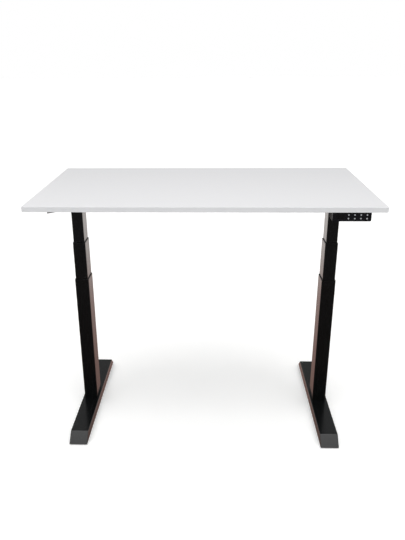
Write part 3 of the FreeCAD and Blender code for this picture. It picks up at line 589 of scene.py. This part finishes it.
@dataclass
class DressedFrame:
    """The CAD nodes whose own shapes are right: they stay, each in its real finish."""

    finishes: dict[str, Finish] = field(default_factory=lambda: SLOT_FINISHES)

    def dress(self) -> None:
        """Gives every CAD node the finish of its material slot."""
        slots = {row["node"]: row["material_slot"] for row in frame["record"]["subparts"]}
        for name, node in frame["nodes"].items():
            finish = self.finishes[slots[name]]
            node.data.materials.clear()
            node.data.materials.append(finish.make())
            LOG.info("%s: CAD shape, in %s", name, finish.name)


@dataclass
class Foot:
    """A folded steel foot: rounded bends, sloping ends, a welded plate for each glide."""

    side: Side
    wall: float = 2.5 * MM
    bend: float = 2.2 * MM
    crease: float = 0.8 * MM
    run: float = 40 * MM
    plate_length: float = 34 * MM
    plate_bottom: float = 14 * MM
    plate: float = 3 * MM
    plate_ease: float = 0.5 * MM
    bolt: Fastener = Fastener(6.5 * MM, 8 * MM, 4 * MM, Recess.SOCKET, 3.7 * MM, 4 * MM)

    def channel(self) -> Form:
        """Folds the channel and welds its plates in.

        Returns:
            The finished channel.
        """
        low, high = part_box(f"foot_{self.side.label}")
        part = bmesh.new()
        bmesh.ops.create_cube(part, size=1.0)
        size = high - low
        bmesh.ops.scale(part, vec=(size.x, size.y - 2 * self.run, size.z), verts=part.verts)
        for vertex in part.verts:
            if vertex.co.z < 0:
                vertex.co.y += math.copysign(self.run, vertex.co.y)
        open_side = min(part.faces, key=lambda face: face.calc_center_median().z)
        bmesh.ops.delete(part, geom=[open_side], context="FACES_ONLY")
        across = [edge for edge in part.edges if not edge.is_boundary
                  and abs(edge.verts[0].co.x - edge.verts[1].co.x) > self.wall]
        bmesh.ops.bevel(part, geom=across, offset=self.crease, segments=2, profile=0.5, affect="EDGES",
                        material=-1)
        along = [edge for edge in part.edges if not edge.is_boundary
                 and abs(edge.verts[0].co.x - edge.verts[1].co.x) < SAME]
        bmesh.ops.bevel(part, geom=along, offset=self.bend, segments=4, profile=0.5, affect="EDGES",
                        material=-1)
        bmesh.ops.recalc_face_normals(part, faces=part.faces)
        bmesh.ops.solidify(part, geom=part.faces[:], thickness=self.wall)
        form = Form().take(part, at=(low + high) / 2)
        middle = (low.x + high.x) / 2
        half = size.x / 2 - self.wall
        for end in ("front", "back"):
            glide_low, glide_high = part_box(f"glide_{self.side.label}_{end}")
            y = (glide_low.y + glide_high.y) / 2
            form.block((middle - half, y - self.plate_length / 2, self.plate_bottom),
                       (middle + half, y + self.plate_length / 2, self.plate_bottom + self.plate),
                       self.plate_ease)
        return form

    def dress(self) -> None:
        """Makes the foot and the four screws that hold the column on it."""
        name = self.side.label
        body = f"{name}_base"
        self.channel().place(f"{name}_foot_channel", POWDER_COAT, body, "black_powder_coat", [f"foot_{name}"])
        low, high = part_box(f"foot_bolts_{name}")
        screws = Form()
        seat = low.z + self.bolt.head_height
        reach = self.bolt.head_radius
        for x in (low.x + reach, high.x - reach):
            for y in (low.y + reach, high.y - reach):
                self.bolt.add(screws, (x, y, seat), Along.DOWN, high.z - seat)
        screws.place(f"{name}_foot_screws", ZINC, body, "zinc_plated_steel", [f"foot_bolts_{name}"])


@dataclass
class Glide:
    """A levelling glide: a moulded pad on a zinc-plated stud, with a nut under the foot."""

    side: Side
    end: str
    stud: float = 4 * MM
    stud_bottom: float = 7.5 * MM
    chamfer: float = 0.8 * MM
    tread: float = 0.8 * MM
    nut: float = 6.5 * MM
    nut_bottom: float = 8 * MM
    nut_top: float = 12 * MM
    nut_bore: float = 3.8 * MM

    def dress(self) -> None:
        """Turns the pad and the stud."""
        node = f"glide_{self.side.label}_{self.end}"
        body = f"{self.side.label}_{self.end}_glide"
        low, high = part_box(node)
        middle = (low + high) / 2
        r = (high.x - low.x) / 2
        groove = [(r - 4 * MM, 0.0), (r - 3.5 * MM, 0.5 * MM), (r - 2.5 * MM, 0.5 * MM), (r - 2 * MM, 0.0)]
        shoulder = [(r, 3.6 * MM), (r - 0.8 * MM, 4.4 * MM), (r - 4.5 * MM, 5.6 * MM), (8.2 * MM, 6.6 * MM),
                    (7.6 * MM, self.nut_bottom), (0.0, self.nut_bottom)]
        pad = [(0.0, 0.0), *groove, (r - self.tread, 0.0), (r, self.tread), *shoulder]
        Form().turned(pad, (middle.x, middle.y, low.z), steps=40).place(
            f"{self.side.label}_{self.end}_glide_pad", GLIDE_RUBBER, body, "glide_rubber", [node])
        axis = (middle.x, middle.y, 0.0)
        stud = Form().turned([(0.0, self.stud_bottom), (self.stud, self.stud_bottom),
                              (self.stud, high.z - self.chamfer), (self.stud - self.chamfer, high.z),
                              (0.0, high.z)], axis, steps=20)
        stud.turned([(self.nut_bore, self.nut_bottom), (self.nut, self.nut_bottom), (self.nut, self.nut_top),
                     (self.nut_bore, self.nut_top), (self.nut_bore, self.nut_bottom)], axis, steps=6)
        stud.place(f"{self.side.label}_{self.end}_glide_stud", ZINC, body, "zinc_plated_steel")


@dataclass
class LiftingGear:
    """The two nested lifting screws of a column, with their threads."""

    side: Side
    lead: float = 12 * MM
    depth: float = 1.3 * MM
    flange: float = 3 * MM
    lower_radius: float = 8 * MM
    lower_shaft: float = 7 * MM
    lower_flange: float = 12 * MM
    journal: float = 6 * MM
    journal_height: float = 6.3 * MM
    journal_chamfer: float = 0.6 * MM
    lower_key: float = 9 * MM
    lower_key_length: float = 12 * MM
    lower_chamfer: float = 1 * MM
    upper_radius: float = 13.5 * MM
    upper_flange: float = 17 * MM
    upper_bore: float = 9.3 * MM
    upper_root: float = 0.4 * MM
    upper_key: float = 14.3 * MM
    upper_key_length: float = 10 * MM
    upper_chamfer: float = 0.8 * MM

    def lower(self) -> None:
        """The lower screw: bearing journal, thrust flange, thread and the key at its top."""
        node = f"lower_screw_{self.side.label}"
        low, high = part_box(node)
        x = (low.x + high.x) / 2
        flange = low.z + self.journal_height
        start = flange + self.flange
        key = high.z - self.lower_key_length
        form = Form().turned([(0.0, low.z), (self.journal - self.journal_chamfer, low.z),
                              (self.journal, low.z + self.journal_chamfer), (self.journal, flange),
                              (self.lower_flange, flange), (self.lower_flange, start),
                              (self.lower_shaft, start), (self.lower_shaft, key), (0.0, key)], (x, 0, 0))
        form.thread(self.lower_radius - self.depth, self.lower_radius, self.lead, start, key, x)
        form.turned([(0.0, key), (self.lower_key, key), (self.lower_key, high.z - self.lower_chamfer),
                     (self.lower_key - self.lower_chamfer, high.z), (0.0, high.z)], (x, 0, 0), steps=6)
        form.place(f"{self.side.label}_lower_lifting_screw", ROLLED_STEEL, f"{self.side.label}_lower_screw",
                   "screw_steel", [node])

    def upper(self) -> None:
        """The hollow upper screw: thrust flange, thread, and a bore that the lower screw's key slides in."""
        node = f"upper_screw_{self.side.label}"
        low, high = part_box(node)
        x = (low.x + high.x) / 2
        bore = self.upper_bore
        core = self.upper_radius - self.depth
        start = low.z + self.flange
        key = high.z - self.upper_key_length
        form = Form().turned([(bore, low.z), (self.upper_flange, low.z), (self.upper_flange, start),
                              (core, start), (core, key), (self.upper_key, key),
                              (self.upper_key, high.z - self.upper_chamfer),
                              (self.upper_key - self.upper_chamfer, high.z), (bore, high.z), (bore, low.z)],
                             (x, 0, 0))
        form.thread(core - self.upper_root, self.upper_radius, self.lead, start, key, x, steps=24)
        form.place(f"{self.side.label}_upper_lifting_screw", ROLLED_STEEL, f"{self.side.label}_upper_screw",
                   "screw_steel", [node])

    def dress(self) -> None:
        """Makes both screws."""
        self.lower()
        self.upper()


@dataclass
class WeldBead:
    """A fillet weld round a rectangular tube that stands against a plate."""

    width: float
    depth: float
    corner: float
    leg: float = 2.6 * MM
    ripple: float = 0.25 * MM
    ripple_step: float = 0.9 * MM
    pieces: int = 18

    def add(self, form: Form, at: Sequence[float]) -> None:
        """Lays the bead under a plate.

        Args:
            form: What it goes into.
            at: The middle of the tube, at the plate's lower face.
        """
        part = bmesh.new()
        bmesh.ops.create_grid(part, x_segments=1, y_segments=1, size=0.5)
        bmesh.ops.scale(part, vec=(self.width + 2 * self.leg, self.depth + 2 * self.leg, 1), verts=part.verts)
        bmesh.ops.bevel(part, geom=part.verts[:], offset=self.corner + self.leg, segments=5, profile=0.5,
                        affect="VERTICES", material=-1)
        middle = part.faces[:]
        bmesh.ops.inset_region(part, faces=middle, thickness=self.leg, use_boundary=True,
                               use_even_offset=True)
        on_tube = [vertex for face in middle for vertex in face.verts]
        bmesh.ops.delete(part, geom=middle, context="FACES")
        bmesh.ops.translate(part, vec=(0, 0, -self.leg), verts=on_tube)
        long_edges = [edge for edge in part.edges if edge.calc_length() > 2 * self.leg]
        bmesh.ops.subdivide_edges(part, edges=long_edges, cuts=self.pieces - 1, use_grid_fill=True)
        across = [edge for edge in part.edges if not edge.is_boundary]
        bmesh.ops.subdivide_edges(part, edges=across, cuts=2, use_grid_fill=True)
        for vertex in part.verts:
            if not vertex.is_boundary:
                wave = math.sin((vertex.co.x + vertex.co.y) / self.ripple_step)
                outwards = Vector((vertex.co.x, vertex.co.y, -10 * MM)).normalized()
                vertex.co += outwards * self.ripple * (1.5 + wave / 2)
        lower_rim = [edge for edge in part.edges
                     if edge.is_boundary and edge.verts[0].co.z < -self.leg / 2]
        wall = bmesh.ops.extrude_edge_only(part, edges=lower_rim)["geom"]
        risen = [item for item in wall if isinstance(item, bmesh.types.BMVert)]
        bmesh.ops.translate(part, vec=(0, 0, self.leg), verts=risen)
        bmesh.ops.bridge_loops(part, edges=[edge for edge in part.edges if edge.is_boundary])
        bmesh.ops.recalc_face_normals(part, faces=part.faces)
        form.take(part, at=Vector(at))


@dataclass
class Column:
    """What is welded and screwed to the top of a column: head, gearbox, motor."""

    side: Side
    bead: WeldBead = field(default_factory=lambda: WeldBead(43 * MM, 72 * MM, 2.5 * MM))
    can_skin: float = 0.6 * MM
    groove_starts: tuple[float, float] = (9 * MM, 82 * MM)
    bell_screw_y: float = 16 * MM
    bell_depth: float = 5 * MM
    boss: float = 4.2 * MM
    boss_height: float = 1.4 * MM
    boss_y: float = 29 * MM
    boss_zs: tuple[float, float] = (-15 * MM, 11 * MM)
    rib_y: float = 25 * MM
    rib_half: float = 1 * MM
    rib_height: float = 1.6 * MM
    rib_ease: float = 0.4 * MM
    screw_length: float = 6 * MM
    screw: Fastener = Fastener(3.2 * MM, 2.2 * MM, 1.6 * MM, Recess.CROSS, 2 * MM, 1.2 * MM, dome=1.2 * MM)

    def groove(self, radius: float, start: float) -> list[tuple[float, float]]:
        """The profile of one groove rolled round the motor can.

        Args:
            radius: The can's largest radius.
            start: How far along the can it starts.

        Returns:
            Points of radius and height.
        """
        rim, floor = radius - self.can_skin, radius - 1.3 * MM
        return [(rim, start), (floor, start + 0.6 * MM), (floor, start + 2.4 * MM), (rim, start + 3 * MM)]

    def motor(self) -> None:
        """The motor can, with its rolled grooves, end bell and bearing boss."""
        node = f"motor_{self.side.label}"
        low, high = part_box(node)
        inner_end, outer_end = self.side.faces(node)
        height = (low.z + high.z) / 2
        r = (high.z - low.z) / 2
        mounting_end = [(0.0, 0.0), (r, 0.0), (r, 3 * MM), (r - 1 * MM, 3.6 * MM)]
        grooves = [point for start in self.groove_starts for point in self.groove(r, start)]
        crimp = [(r - self.can_skin, 96 * MM), (r - 1.2 * MM, 98.6 * MM), (r - 3.6 * MM, 100 * MM)]
        bell = [(14 * MM, 100 * MM), (13.4 * MM, 100.6 * MM), (13 * MM, 104 * MM), (11.8 * MM, 105 * MM)]
        bearing = [(6 * MM, 105 * MM), (5.4 * MM, 103.6 * MM), (0.0, 103.6 * MM)]
        profile = mounting_end + grooves + crimp + bell + bearing
        form = Form().turned(profile, (outer_end, 0.0, height), self.side.inward, steps=48)
        form.place(f"{self.side.label}_motor_can", ENAMEL, "top", "motor_paint", [node])
        screws = Form()
        for y in (-self.bell_screw_y, self.bell_screw_y):
            self.screw.add(screws, (inner_end + self.side.sign * self.bell_depth, y, height),
                           self.side.inward, self.screw_length)
        screws.place(f"{self.side.label}_motor_screws", ZINC, "top", "zinc_plated_steel")

    def gearbox(self) -> None:
        """Bosses and screws on the face of the gearbox that the motor is held against."""
        node = f"gearbox_housing_{self.side.label}"
        low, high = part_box(node)
        face, _ = self.side.faces(node)
        out = -self.side.sign
        motor_low, motor_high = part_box(f"motor_{self.side.label}")
        height = (motor_low.z + motor_high.z) / 2
        boss = [(0.0, -1 * MM), (self.boss + 0.8 * MM, -1 * MM), (self.boss + 0.5 * MM, 0.6 * MM),
                (self.boss, self.boss_height), (0.0, self.boss_height)]
        bosses, screws = Form(), Form()
        for y in (-self.boss_y, self.boss_y):
            for rise in self.boss_zs:
                z = height + rise
                bosses.turned(boss, (face, y, z), self.side.inward, steps=20)
                self.screw.add(screws, (face + out * self.boss_height, y, z), self.side.inward,
                               self.screw_length)
        rib_ends = sorted((face - out * self.rib_half, face + out * self.rib_height))
        for y in (-self.rib_y, self.rib_y):
            bosses.block((rib_ends[0], y - self.rib_half, low.z + self.rib_half),
                         (rib_ends[1], y + self.rib_half, high.z - self.rib_half), self.rib_ease)
        bosses.place(f"{self.side.label}_gearbox_bosses", GLASS_NYLON, "top", "gearbox_nylon")
        screws.place(f"{self.side.label}_gearbox_screws", ZINC, "top", "zinc_plated_steel")

    def dress(self) -> None:
        """Makes the motor, the gearbox details and the weld under the column head."""
        self.motor()
        self.gearbox()
        name = self.side.label
        low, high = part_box(f"inner_tube_{name}")
        weld = Form()
        self.bead.add(weld, ((low.x + high.x) / 2, (low.y + high.y) / 2, high.z))
        weld.place(f"{name}_column_head_weld", POWDER_COAT, "top", "black_powder_coat")


@dataclass
class SideBracket:
    """The folded angle under each end of the board, which tapers to both tips."""

    side: Side
    sheet: float = 2.5 * MM
    bend: float = 4 * MM
    tip: float = 20 * MM
    middle_length: float = 320 * MM
    corner: float = 6 * MM

    def dress(self) -> None:
        """Folds the bracket from one sheet, flange and web together."""
        name = self.side.label
        node = f"side_bracket_{name}"
        low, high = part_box(node)
        inner, outer = self.side.faces(node)
        part = bmesh.new()
        bmesh.ops.create_cube(part, size=1.0)
        bmesh.ops.scale(part, vec=high - low, verts=part.verts)
        bmesh.ops.translate(part, vec=(low + high) / 2, verts=part.verts)
        kept = {max(part.faces, key=lambda face: face.calc_center_median().z),
                max(part.faces, key=lambda face: face.calc_center_median().x * self.side.sign)}
        bmesh.ops.delete(part, geom=[face for face in part.faces if face not in kept], context="FACES")
        for share in (-1, 1):
            bmesh.ops.bisect_plane(part, geom=part.verts[:] + part.edges[:] + part.faces[:],
                                   plane_co=(0, share * self.middle_length / 2, 0), plane_no=(0, 1, 0))
        for vertex in part.verts:
            if vertex.co.z < low.z + SAME and abs(vertex.co.y) > self.middle_length / 2 + MM:
                vertex.co.z = high.z - self.tip
        fold = [edge for edge in part.edges if not edge.is_boundary
                and all(abs(v.co.x - outer) < SAME and abs(v.co.z - high.z) < SAME for v in edge.verts)]
        bmesh.ops.bevel(part, geom=fold, offset=self.bend, segments=6, profile=0.5, affect="EDGES",
                        material=-1)
        corners = [vertex for vertex in part.verts if abs(vertex.co.x - inner) < SAME
                   and abs(abs(vertex.co.y) - high.y) < SAME]
        bmesh.ops.bevel(part, geom=corners, offset=self.corner, segments=5, profile=0.5, affect="VERTICES",
                        material=-1)
        bmesh.ops.recalc_face_normals(part, faces=part.faces)
        top_face = max(part.faces, key=lambda face: face.calc_area())
        if top_face.normal.z < 0:
            bmesh.ops.reverse_faces(part, faces=part.faces)
        bmesh.ops.solidify(part, geom=part.faces[:], thickness=self.sheet)
        Form().take(part).place(f"{name}_folded_bracket", POWDER_COAT, "top", "black_powder_coat", [node])


@dataclass
class Fixings:
    """The frame's socket screws and the wood screws that hold it to the board."""

    bolt: Fastener = Fastener(5.5 * MM, 3.3 * MM, 3 * MM, Recess.SOCKET, 2.7 * MM, 2 * MM)
    wood: Fastener = Fastener(4.5 * MM, 3 * MM, 2.2 * MM, Recess.CROSS, 2.7 * MM, 1.6 * MM, dome=1.6 * MM)
    bolt_xs: tuple[float, ...] = (472 * MM, 500 * MM)
    cross_xs: tuple[float, ...] = (458 * MM, 486 * MM)
    wood_ys: tuple[float, ...] = (-262 * MM, -190 * MM, -125 * MM, 125 * MM, 190 * MM, 262 * MM)
    wood_x: float = 490 * MM
    handset_xs: tuple[float, ...] = (-52 * MM, 52 * MM)
    box_ys: tuple[float, ...] = (-10 * MM, 10 * MM)
    ear_middle: float = 7 * MM
    bolt_length: float = 42 * MM
    cross_length: float = 28 * MM
    wood_length: float = 16 * MM
    wood_tip: float = 5 * MM

    def dress(self) -> None:
        """Makes every screw of the frame, in two pieces."""
        rail_low, rail_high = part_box("crossbeam_back_rail")
        rail_y = (rail_low.y + rail_high.y) / 2
        rail_z = (rail_low.z + rail_high.z) / 2
        bolts = Form()
        for sign in (-1, 1):
            for j in (-1, 1):
                for x in self.bolt_xs:
                    self.bolt.add(bolts, (sign * x, j * rail_y, rail_low.z), Along.DOWN, self.bolt_length)
                for x in self.cross_xs:
                    along = Along.FRONT if j < 0 else Along.BACK
                    self.bolt.add(bolts, (sign * x, j * rail_high.y, rail_z), along, self.cross_length)
        bolts.place("frame_socket_screws", BLACK_OXIDE, "top", "zinc_plated_steel", ["frame_bolts"])

        low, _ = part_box("wood_screws")
        seat = low.z + self.wood.head_height
        spots = [(sign * self.wood_x, y) for sign in (-1, 1) for y in self.wood_ys]
        shell_low, shell_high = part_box("handset_housing")
        handset_x = (shell_low.x + shell_high.x) / 2
        spots += [(handset_x + x, shell_high.y - self.ear_middle) for x in self.handset_xs]
        box_low, box_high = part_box("control_box_housing")
        middle = (box_low.y + box_high.y) / 2
        spots += [(sign * (box_high.x - self.ear_middle), middle + y) for sign in (-1, 1) for y in self.box_ys]
        screws = Form()
        for x, y in spots:
            self.wood.add(screws, (x, y, seat), Along.DOWN, self.wood_length, tip=self.wood_tip)
        screws.place("board_wood_screws", ZINC, "top", "zinc_plated_steel", ["wood_screws"])


@dataclass
class ControlBox:
    """The moulded box that drives both motors, its lid, its sockets and its mains inlet."""

    shell_ease: float = 1.2 * MM
    lid_ease: float = 0.8 * MM
    rib_pitch: float = 6 * MM
    rib_count: int = 12
    rib_half: float = 1 * MM
    rib_inset: float = 14 * MM
    rib_proud: float = 0.7 * MM
    rib_sunk: float = 0.5 * MM
    edge_ease: float = 0.3 * MM
    inlet_ease: float = 0.4 * MM
    screw_inset: float = 8 * MM
    screw_length: float = 5 * MM
    pins: tuple[tuple[float, float], ...] = ((-7 * MM, 0.0), (0.0, 3 * MM), (7 * MM, 0.0))
    pin_half: tuple[float, float] = (1.1 * MM, 2.1 * MM)
    pin_height: float = 10 * MM
    pin_front: float = 5.8 * MM
    pin_root: float = 3.2 * MM
    screw: Fastener = Fastener(2.8 * MM, 1.6 * MM, 1.4 * MM, Recess.CROSS, 1.7 * MM, 0.9 * MM, dome=0.8 * MM)

    def shell(self) -> None:
        """The housing and the lid, with eased edges, cooling ribs and lid screws."""
        Form().eased_copy("control_box_housing", self.shell_ease, 3).place(
            "control_box_shell", TEXTURED_ABS, "top", "control_box_abs", ["control_box_housing"])
        low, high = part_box("control_box_lid")
        Form().block(low, high, self.lid_ease).place(
            "control_box_base", TEXTURED_ABS, "top", "control_box_abs", ["control_box_lid"])
        ribs = Form()
        first = -self.rib_pitch * (self.rib_count - 1) / 2
        for i in range(self.rib_count):
            x = first + i * self.rib_pitch
            ribs.block((x - self.rib_half, low.y + self.rib_inset, low.z - self.rib_proud),
                       (x + self.rib_half, high.y - self.rib_inset, low.z + self.rib_sunk), self.edge_ease)
        ribs.place("control_box_ribs", TEXTURED_ABS, "top", "control_box_abs")
        screws = Form()
        for x in (low.x + self.screw_inset, high.x - self.screw_inset):
            for y in (low.y + self.screw_inset, high.y - self.screw_inset):
                self.screw.add(screws, (x, y, low.z), Along.DOWN, self.screw_length)
        screws.place("control_box_lid_screws", ZINC, "top", "zinc_plated_steel")

    def inlet(self) -> None:
        """The mains inlet: a moulded shroud with three plated pins."""
        Form().eased_copy("power_inlet", self.inlet_ease).place(
            "power_inlet_shroud", INLET_PLASTIC, "top", "inlet_plastic", ["power_inlet"])
        low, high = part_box("power_inlet")
        y = (low.y + high.y) / 2
        pins = Form()
        half_width, half_height = self.pin_half
        for along, up in self.pins:
            z = low.z + self.pin_height + up
            pins.block((low.x + self.pin_front, y + along - half_width, z - half_height),
                       (high.x - self.pin_root, y + along + half_width, z + half_height), self.edge_ease)
        pins.place("power_inlet_pins", NICKEL, "top", "zinc_plated_steel")

    def dress(self) -> None:
        """Makes the box and its inlet."""
        self.shell()
        self.inlet()


@dataclass
class Handset:
    """The control handset at the board's front edge: housing, glossy face, blank window, eight buttons."""

    buttons: tuple[str, ...] = ("button_up", "button_preset_1", "button_preset_2", "button_memory",
                                "button_down", "button_preset_3", "button_preset_4", "button_lock")
    shell_ease: float = 0.7 * MM
    face_ease: float = 0.5 * MM
    window: tuple[float, float] = (26 * MM, 14 * MM)
    window_x: float = 27 * MM
    window_proud: float = 0.25 * MM
    window_sunk: float = 0.6 * MM
    window_ease: float = 0.2 * MM
    skirt: float = 1 * MM
    cap_depth: float = 3.2 * MM
    skirt_depth: float = 1.4 * MM

    def dress(self) -> None:
        """Makes the housing, the face, the window and each button."""
        Form().eased_copy("handset_housing", self.shell_ease).place(
            "handset_shell", TEXTURED_ABS, "top", "handset_abs", ["handset_housing"])
        Form().eased_copy("handset_front_plate", self.face_ease).place(
            "handset_face", GLOSS_ABS, "top", "handset_gloss", ["handset_front_plate"])
        low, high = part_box("handset_front_plate")
        x = low.x + self.window_x
        z = (low.z + high.z) / 2
        width, height = self.window
        window = Form().block((x - width / 2, low.y - self.window_proud, z - height / 2),
                              (x + width / 2, low.y + self.window_sunk, z + height / 2), self.window_ease)
        window.place("handset_display_window", SMOKED_ACRYLIC, "top", "handset_gloss")
        for name in self.buttons:
            self.button(name)

    def button(self, name: str) -> None:
        """One button: a dished cap with a rounded rim on its stem.

        Args:
            name: The CAD node and body of the button.
        """
        low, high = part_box(name)
        x, z = (low.x + high.x) / 2, (low.z + high.z) / 2
        depth = high.y - low.y
        r = (high.z - low.z) / 2 - self.skirt
        neck = r - self.skirt
        dish = [(0.0, -0.25 * MM), (0.6 * r, -0.12 * MM), (0.85 * r, 0.0), (0.95 * r, -0.15 * MM)]
        cap = [(r, -0.5 * MM), (r, -self.cap_depth), (neck, -self.cap_depth), (neck, self.skirt_depth - depth)]
        skirt = [(r + 0.9 * MM, 1.2 * MM - depth), (r + self.skirt, -depth), (0.0, -depth)]
        Form().turned(dish + cap + skirt, (x, low.y, z), Along.FRONT, steps=24).place(
            f"{name}_cap", BUTTON_LACQUER, name, "button_grey", [name])


@dataclass
class Studio:
    """The pale floor, the soft lights and the camera."""

    floor_size: float = 60.0
    floor_glow: float = 0.25
    lens: float = 40.842
    eye: tuple[float, float, float] = (0.0316, -2.3104, 1.4304)
    pitch: float = 22.837
    yaw: float = 2.133
    roll: float = -0.451
    shift: tuple[float, float] = (0.0209, 0.0648)
    softbox_watts: float = 15.5
    softbox_size: tuple[float, float] = (3.2, 0.5)
    softbox_place: tuple[float, float, float] = (0.0, -0.9, 2.2)
    softbox_tilt: float = 33.0
    sky_strength: float = 1.62
    ceiling_strength: float = 0.30
    ceiling_spread: float = 45.0
    ceiling_tilt: float = 1.0
    front_wall: float = 0.12
    front_wall_fade: tuple[float, float] = (-0.45, 0.25)
    front_wall_top: tuple[float, float] = (-0.05, 0.5)
    bands: tuple[tuple[float, str], ...] = (
        (-0.60, "#594943"), (-0.47, "#8d716a"), (-0.37, "#a9928c"), (-0.29, "#d2cac6"), (-0.20, "#e9e6e4"),
        (-0.10, "#e0e0e0"), (0.06, "#dedede"), (0.28, "#6a6a6a"), (0.58, "#6a6a6a"), (0.90, "#ffffff"))

    def floor(self) -> None:
        """A large sheet of pale paper under the desk, which doesn't show from below."""
        part = bmesh.new()
        bmesh.ops.create_grid(part, x_segments=1, y_segments=1, size=self.floor_size / 2)
        data = bpy.data.meshes.new("floor")
        part.to_mesh(data)
        part.free()
        sheet = bpy.data.objects.new("floor", data)
        bpy.context.scene.collection.objects.link(sheet)
        material = STUDIO_PAPER.make()
        tree = material.node_tree
        shader = next(node for node in tree.nodes if node.type == "BSDF_PRINCIPLED")
        shader.inputs["Emission Color"].default_value = linear("#ffffff")
        shader.inputs["Emission Strength"].default_value = self.floor_glow
        clear = add_node(tree, "BsdfTransparent")
        below = add_node(tree, "NewGeometry").outputs["Backfacing"]
        sides = add_node(tree, "MixShader", {0: below, 1: shader.outputs[0], 2: clear.outputs[0]})
        add_node(tree, "OutputMaterial", {"Surface": sides.outputs[0]}).is_active_output = True
        data.materials.append(material)
        sheet.visible_glossy = False

    def sky(self) -> None:
        """A white room, darker and warmer below the horizon, where polished paint mirrors it."""
        world = bpy.data.worlds.new("studio")
        bpy.context.scene.world = world
        world.use_nodes = True
        tree = world.node_tree
        tree.nodes.clear()
        way = add_node(tree, "TexCoord").outputs["Generated"]
        parts = add_node(tree, "SeparateXYZ", {0: way})
        height = parts.outputs["Z"]
        start, end = self.front_wall_fade
        wall = add_node(tree, "MapRange", {"Value": parts.outputs["Y"], "From Min": start, "From Max": end,
                                           "To Min": self.front_wall, "To Max": 1.0})
        start, end = self.front_wall_top
        above = add_node(tree, "MapRange", {"Value": height, "From Min": start, "From Max": end})
        dimmed = add_node(tree, "Mix", {MIX_SHARE: above.outputs[0], MIX_NUMBER_A: wall.outputs[0],
                                        MIX_NUMBER_B: 1.0}, data_type="FLOAT")
        strength = add_node(tree, "Math", {0: dimmed.outputs[0], 1: self.sky_strength}, operation="MULTIPLY")
        lowest = self.bands[0][0]
        share = add_node(tree, "MapRange", {"Value": height, "From Min": lowest, "From Max": 1.0})
        ramp = add_node(tree, "ValToRGB", {0: share.outputs[0]})
        elements = ramp.color_ramp.elements
        while len(elements) < len(self.bands):
            elements.new(0.5)
        for element, (rise, code) in zip(elements, self.bands):
            element.position = (rise - lowest) / (1 - lowest)
            element.color = linear(code)
        light = add_node(tree, "Background", {"Color": ramp.outputs[0], "Strength": strength.outputs[0]})
        backdrop = add_node(tree, "Background", {"Color": linear("#ffffff"), "Strength": 1.0})
        seen = add_node(tree, "LightPath").outputs["Is Camera Ray"]
        both = add_node(tree, "MixShader", {0: seen, 1: light.outputs[0], 2: backdrop.outputs[0]})
        add_node(tree, "OutputWorld", {"Surface": both.outputs[0]})

    def softbox(self) -> None:
        """A long softbox above and in front of the desk."""
        lamp = bpy.data.lights.new("softbox", "AREA")
        lamp.shape = "RECTANGLE"
        lamp.size, lamp.size_y = self.softbox_size
        lamp.energy = self.softbox_watts
        holder = bpy.data.objects.new("softbox", lamp)
        holder.location = self.softbox_place
        holder.rotation_euler = (math.radians(self.softbox_tilt), 0.0, 0.0)
        bpy.context.scene.collection.objects.link(holder)

    def overhead(self) -> None:
        """A broad ceiling light, even over the whole floor."""
        lamp = bpy.data.lights.new("ceiling", "SUN")
        lamp.energy = self.ceiling_strength
        lamp.angle = math.radians(self.ceiling_spread)
        holder = bpy.data.objects.new("ceiling", lamp)
        holder.rotation_euler = (math.radians(self.ceiling_tilt), 0.0, 0.0)
        bpy.context.scene.collection.objects.link(holder)

    def camera(self) -> None:
        """The camera, standing in front of the desk and looking a little down."""
        pitch, yaw, roll = (math.radians(angle) for angle in (self.pitch, self.yaw, self.roll))
        forward = Vector((-math.sin(yaw) * math.cos(pitch), math.cos(yaw) * math.cos(pitch),
                          -math.sin(pitch)))
        level = Vector((math.cos(yaw), math.sin(yaw), 0.0))
        upright = Vector((-math.sin(yaw) * math.sin(pitch), math.cos(yaw) * math.sin(pitch),
                          math.cos(pitch)))
        right = math.cos(roll) * level + math.sin(roll) * upright
        up = -math.sin(roll) * level + math.cos(roll) * upright
        lens = bpy.data.cameras.new("camera")
        lens.lens = self.lens
        lens.sensor_width = 36.0
        lens.shift_x, lens.shift_y = self.shift
        lens.clip_start, lens.clip_end = 0.05, 200.0
        holder = bpy.data.objects.new("camera", lens)
        holder.matrix_world = Matrix((
            (right.x, up.x, -forward.x, self.eye[0]), (right.y, up.y, -forward.y, self.eye[1]),
            (right.z, up.z, -forward.z, self.eye[2]), (0.0, 0.0, 0.0, 1.0)))
        bpy.context.scene.collection.objects.link(holder)
        bpy.context.scene.camera = holder

    def dress(self) -> None:
        """Sets the studio up."""
        bpy.context.scene.view_settings.view_transform = "Standard"
        self.camera()
        self.floor()
        self.sky()
        self.softbox()
        self.overhead()


def main() -> None:
    """Builds the sub-assemblies in order."""
    logging.basicConfig(level=logging.INFO, format="%(message)s")
    builders: list[Callable[[], None]] = [Studio().dress, DressedFrame().dress]
    for side in Side:
        builders += [Foot(side).dress, LiftingGear(side).dress, Column(side).dress, SideBracket(side).dress]
        builders += [Glide(side, end).dress for end in ("front", "back")]
    builders += [Fixings().dress, ControlBox().dress, Handset().dress]
    for build in builders:
        build()


if __name__ == "__main__":
    main()
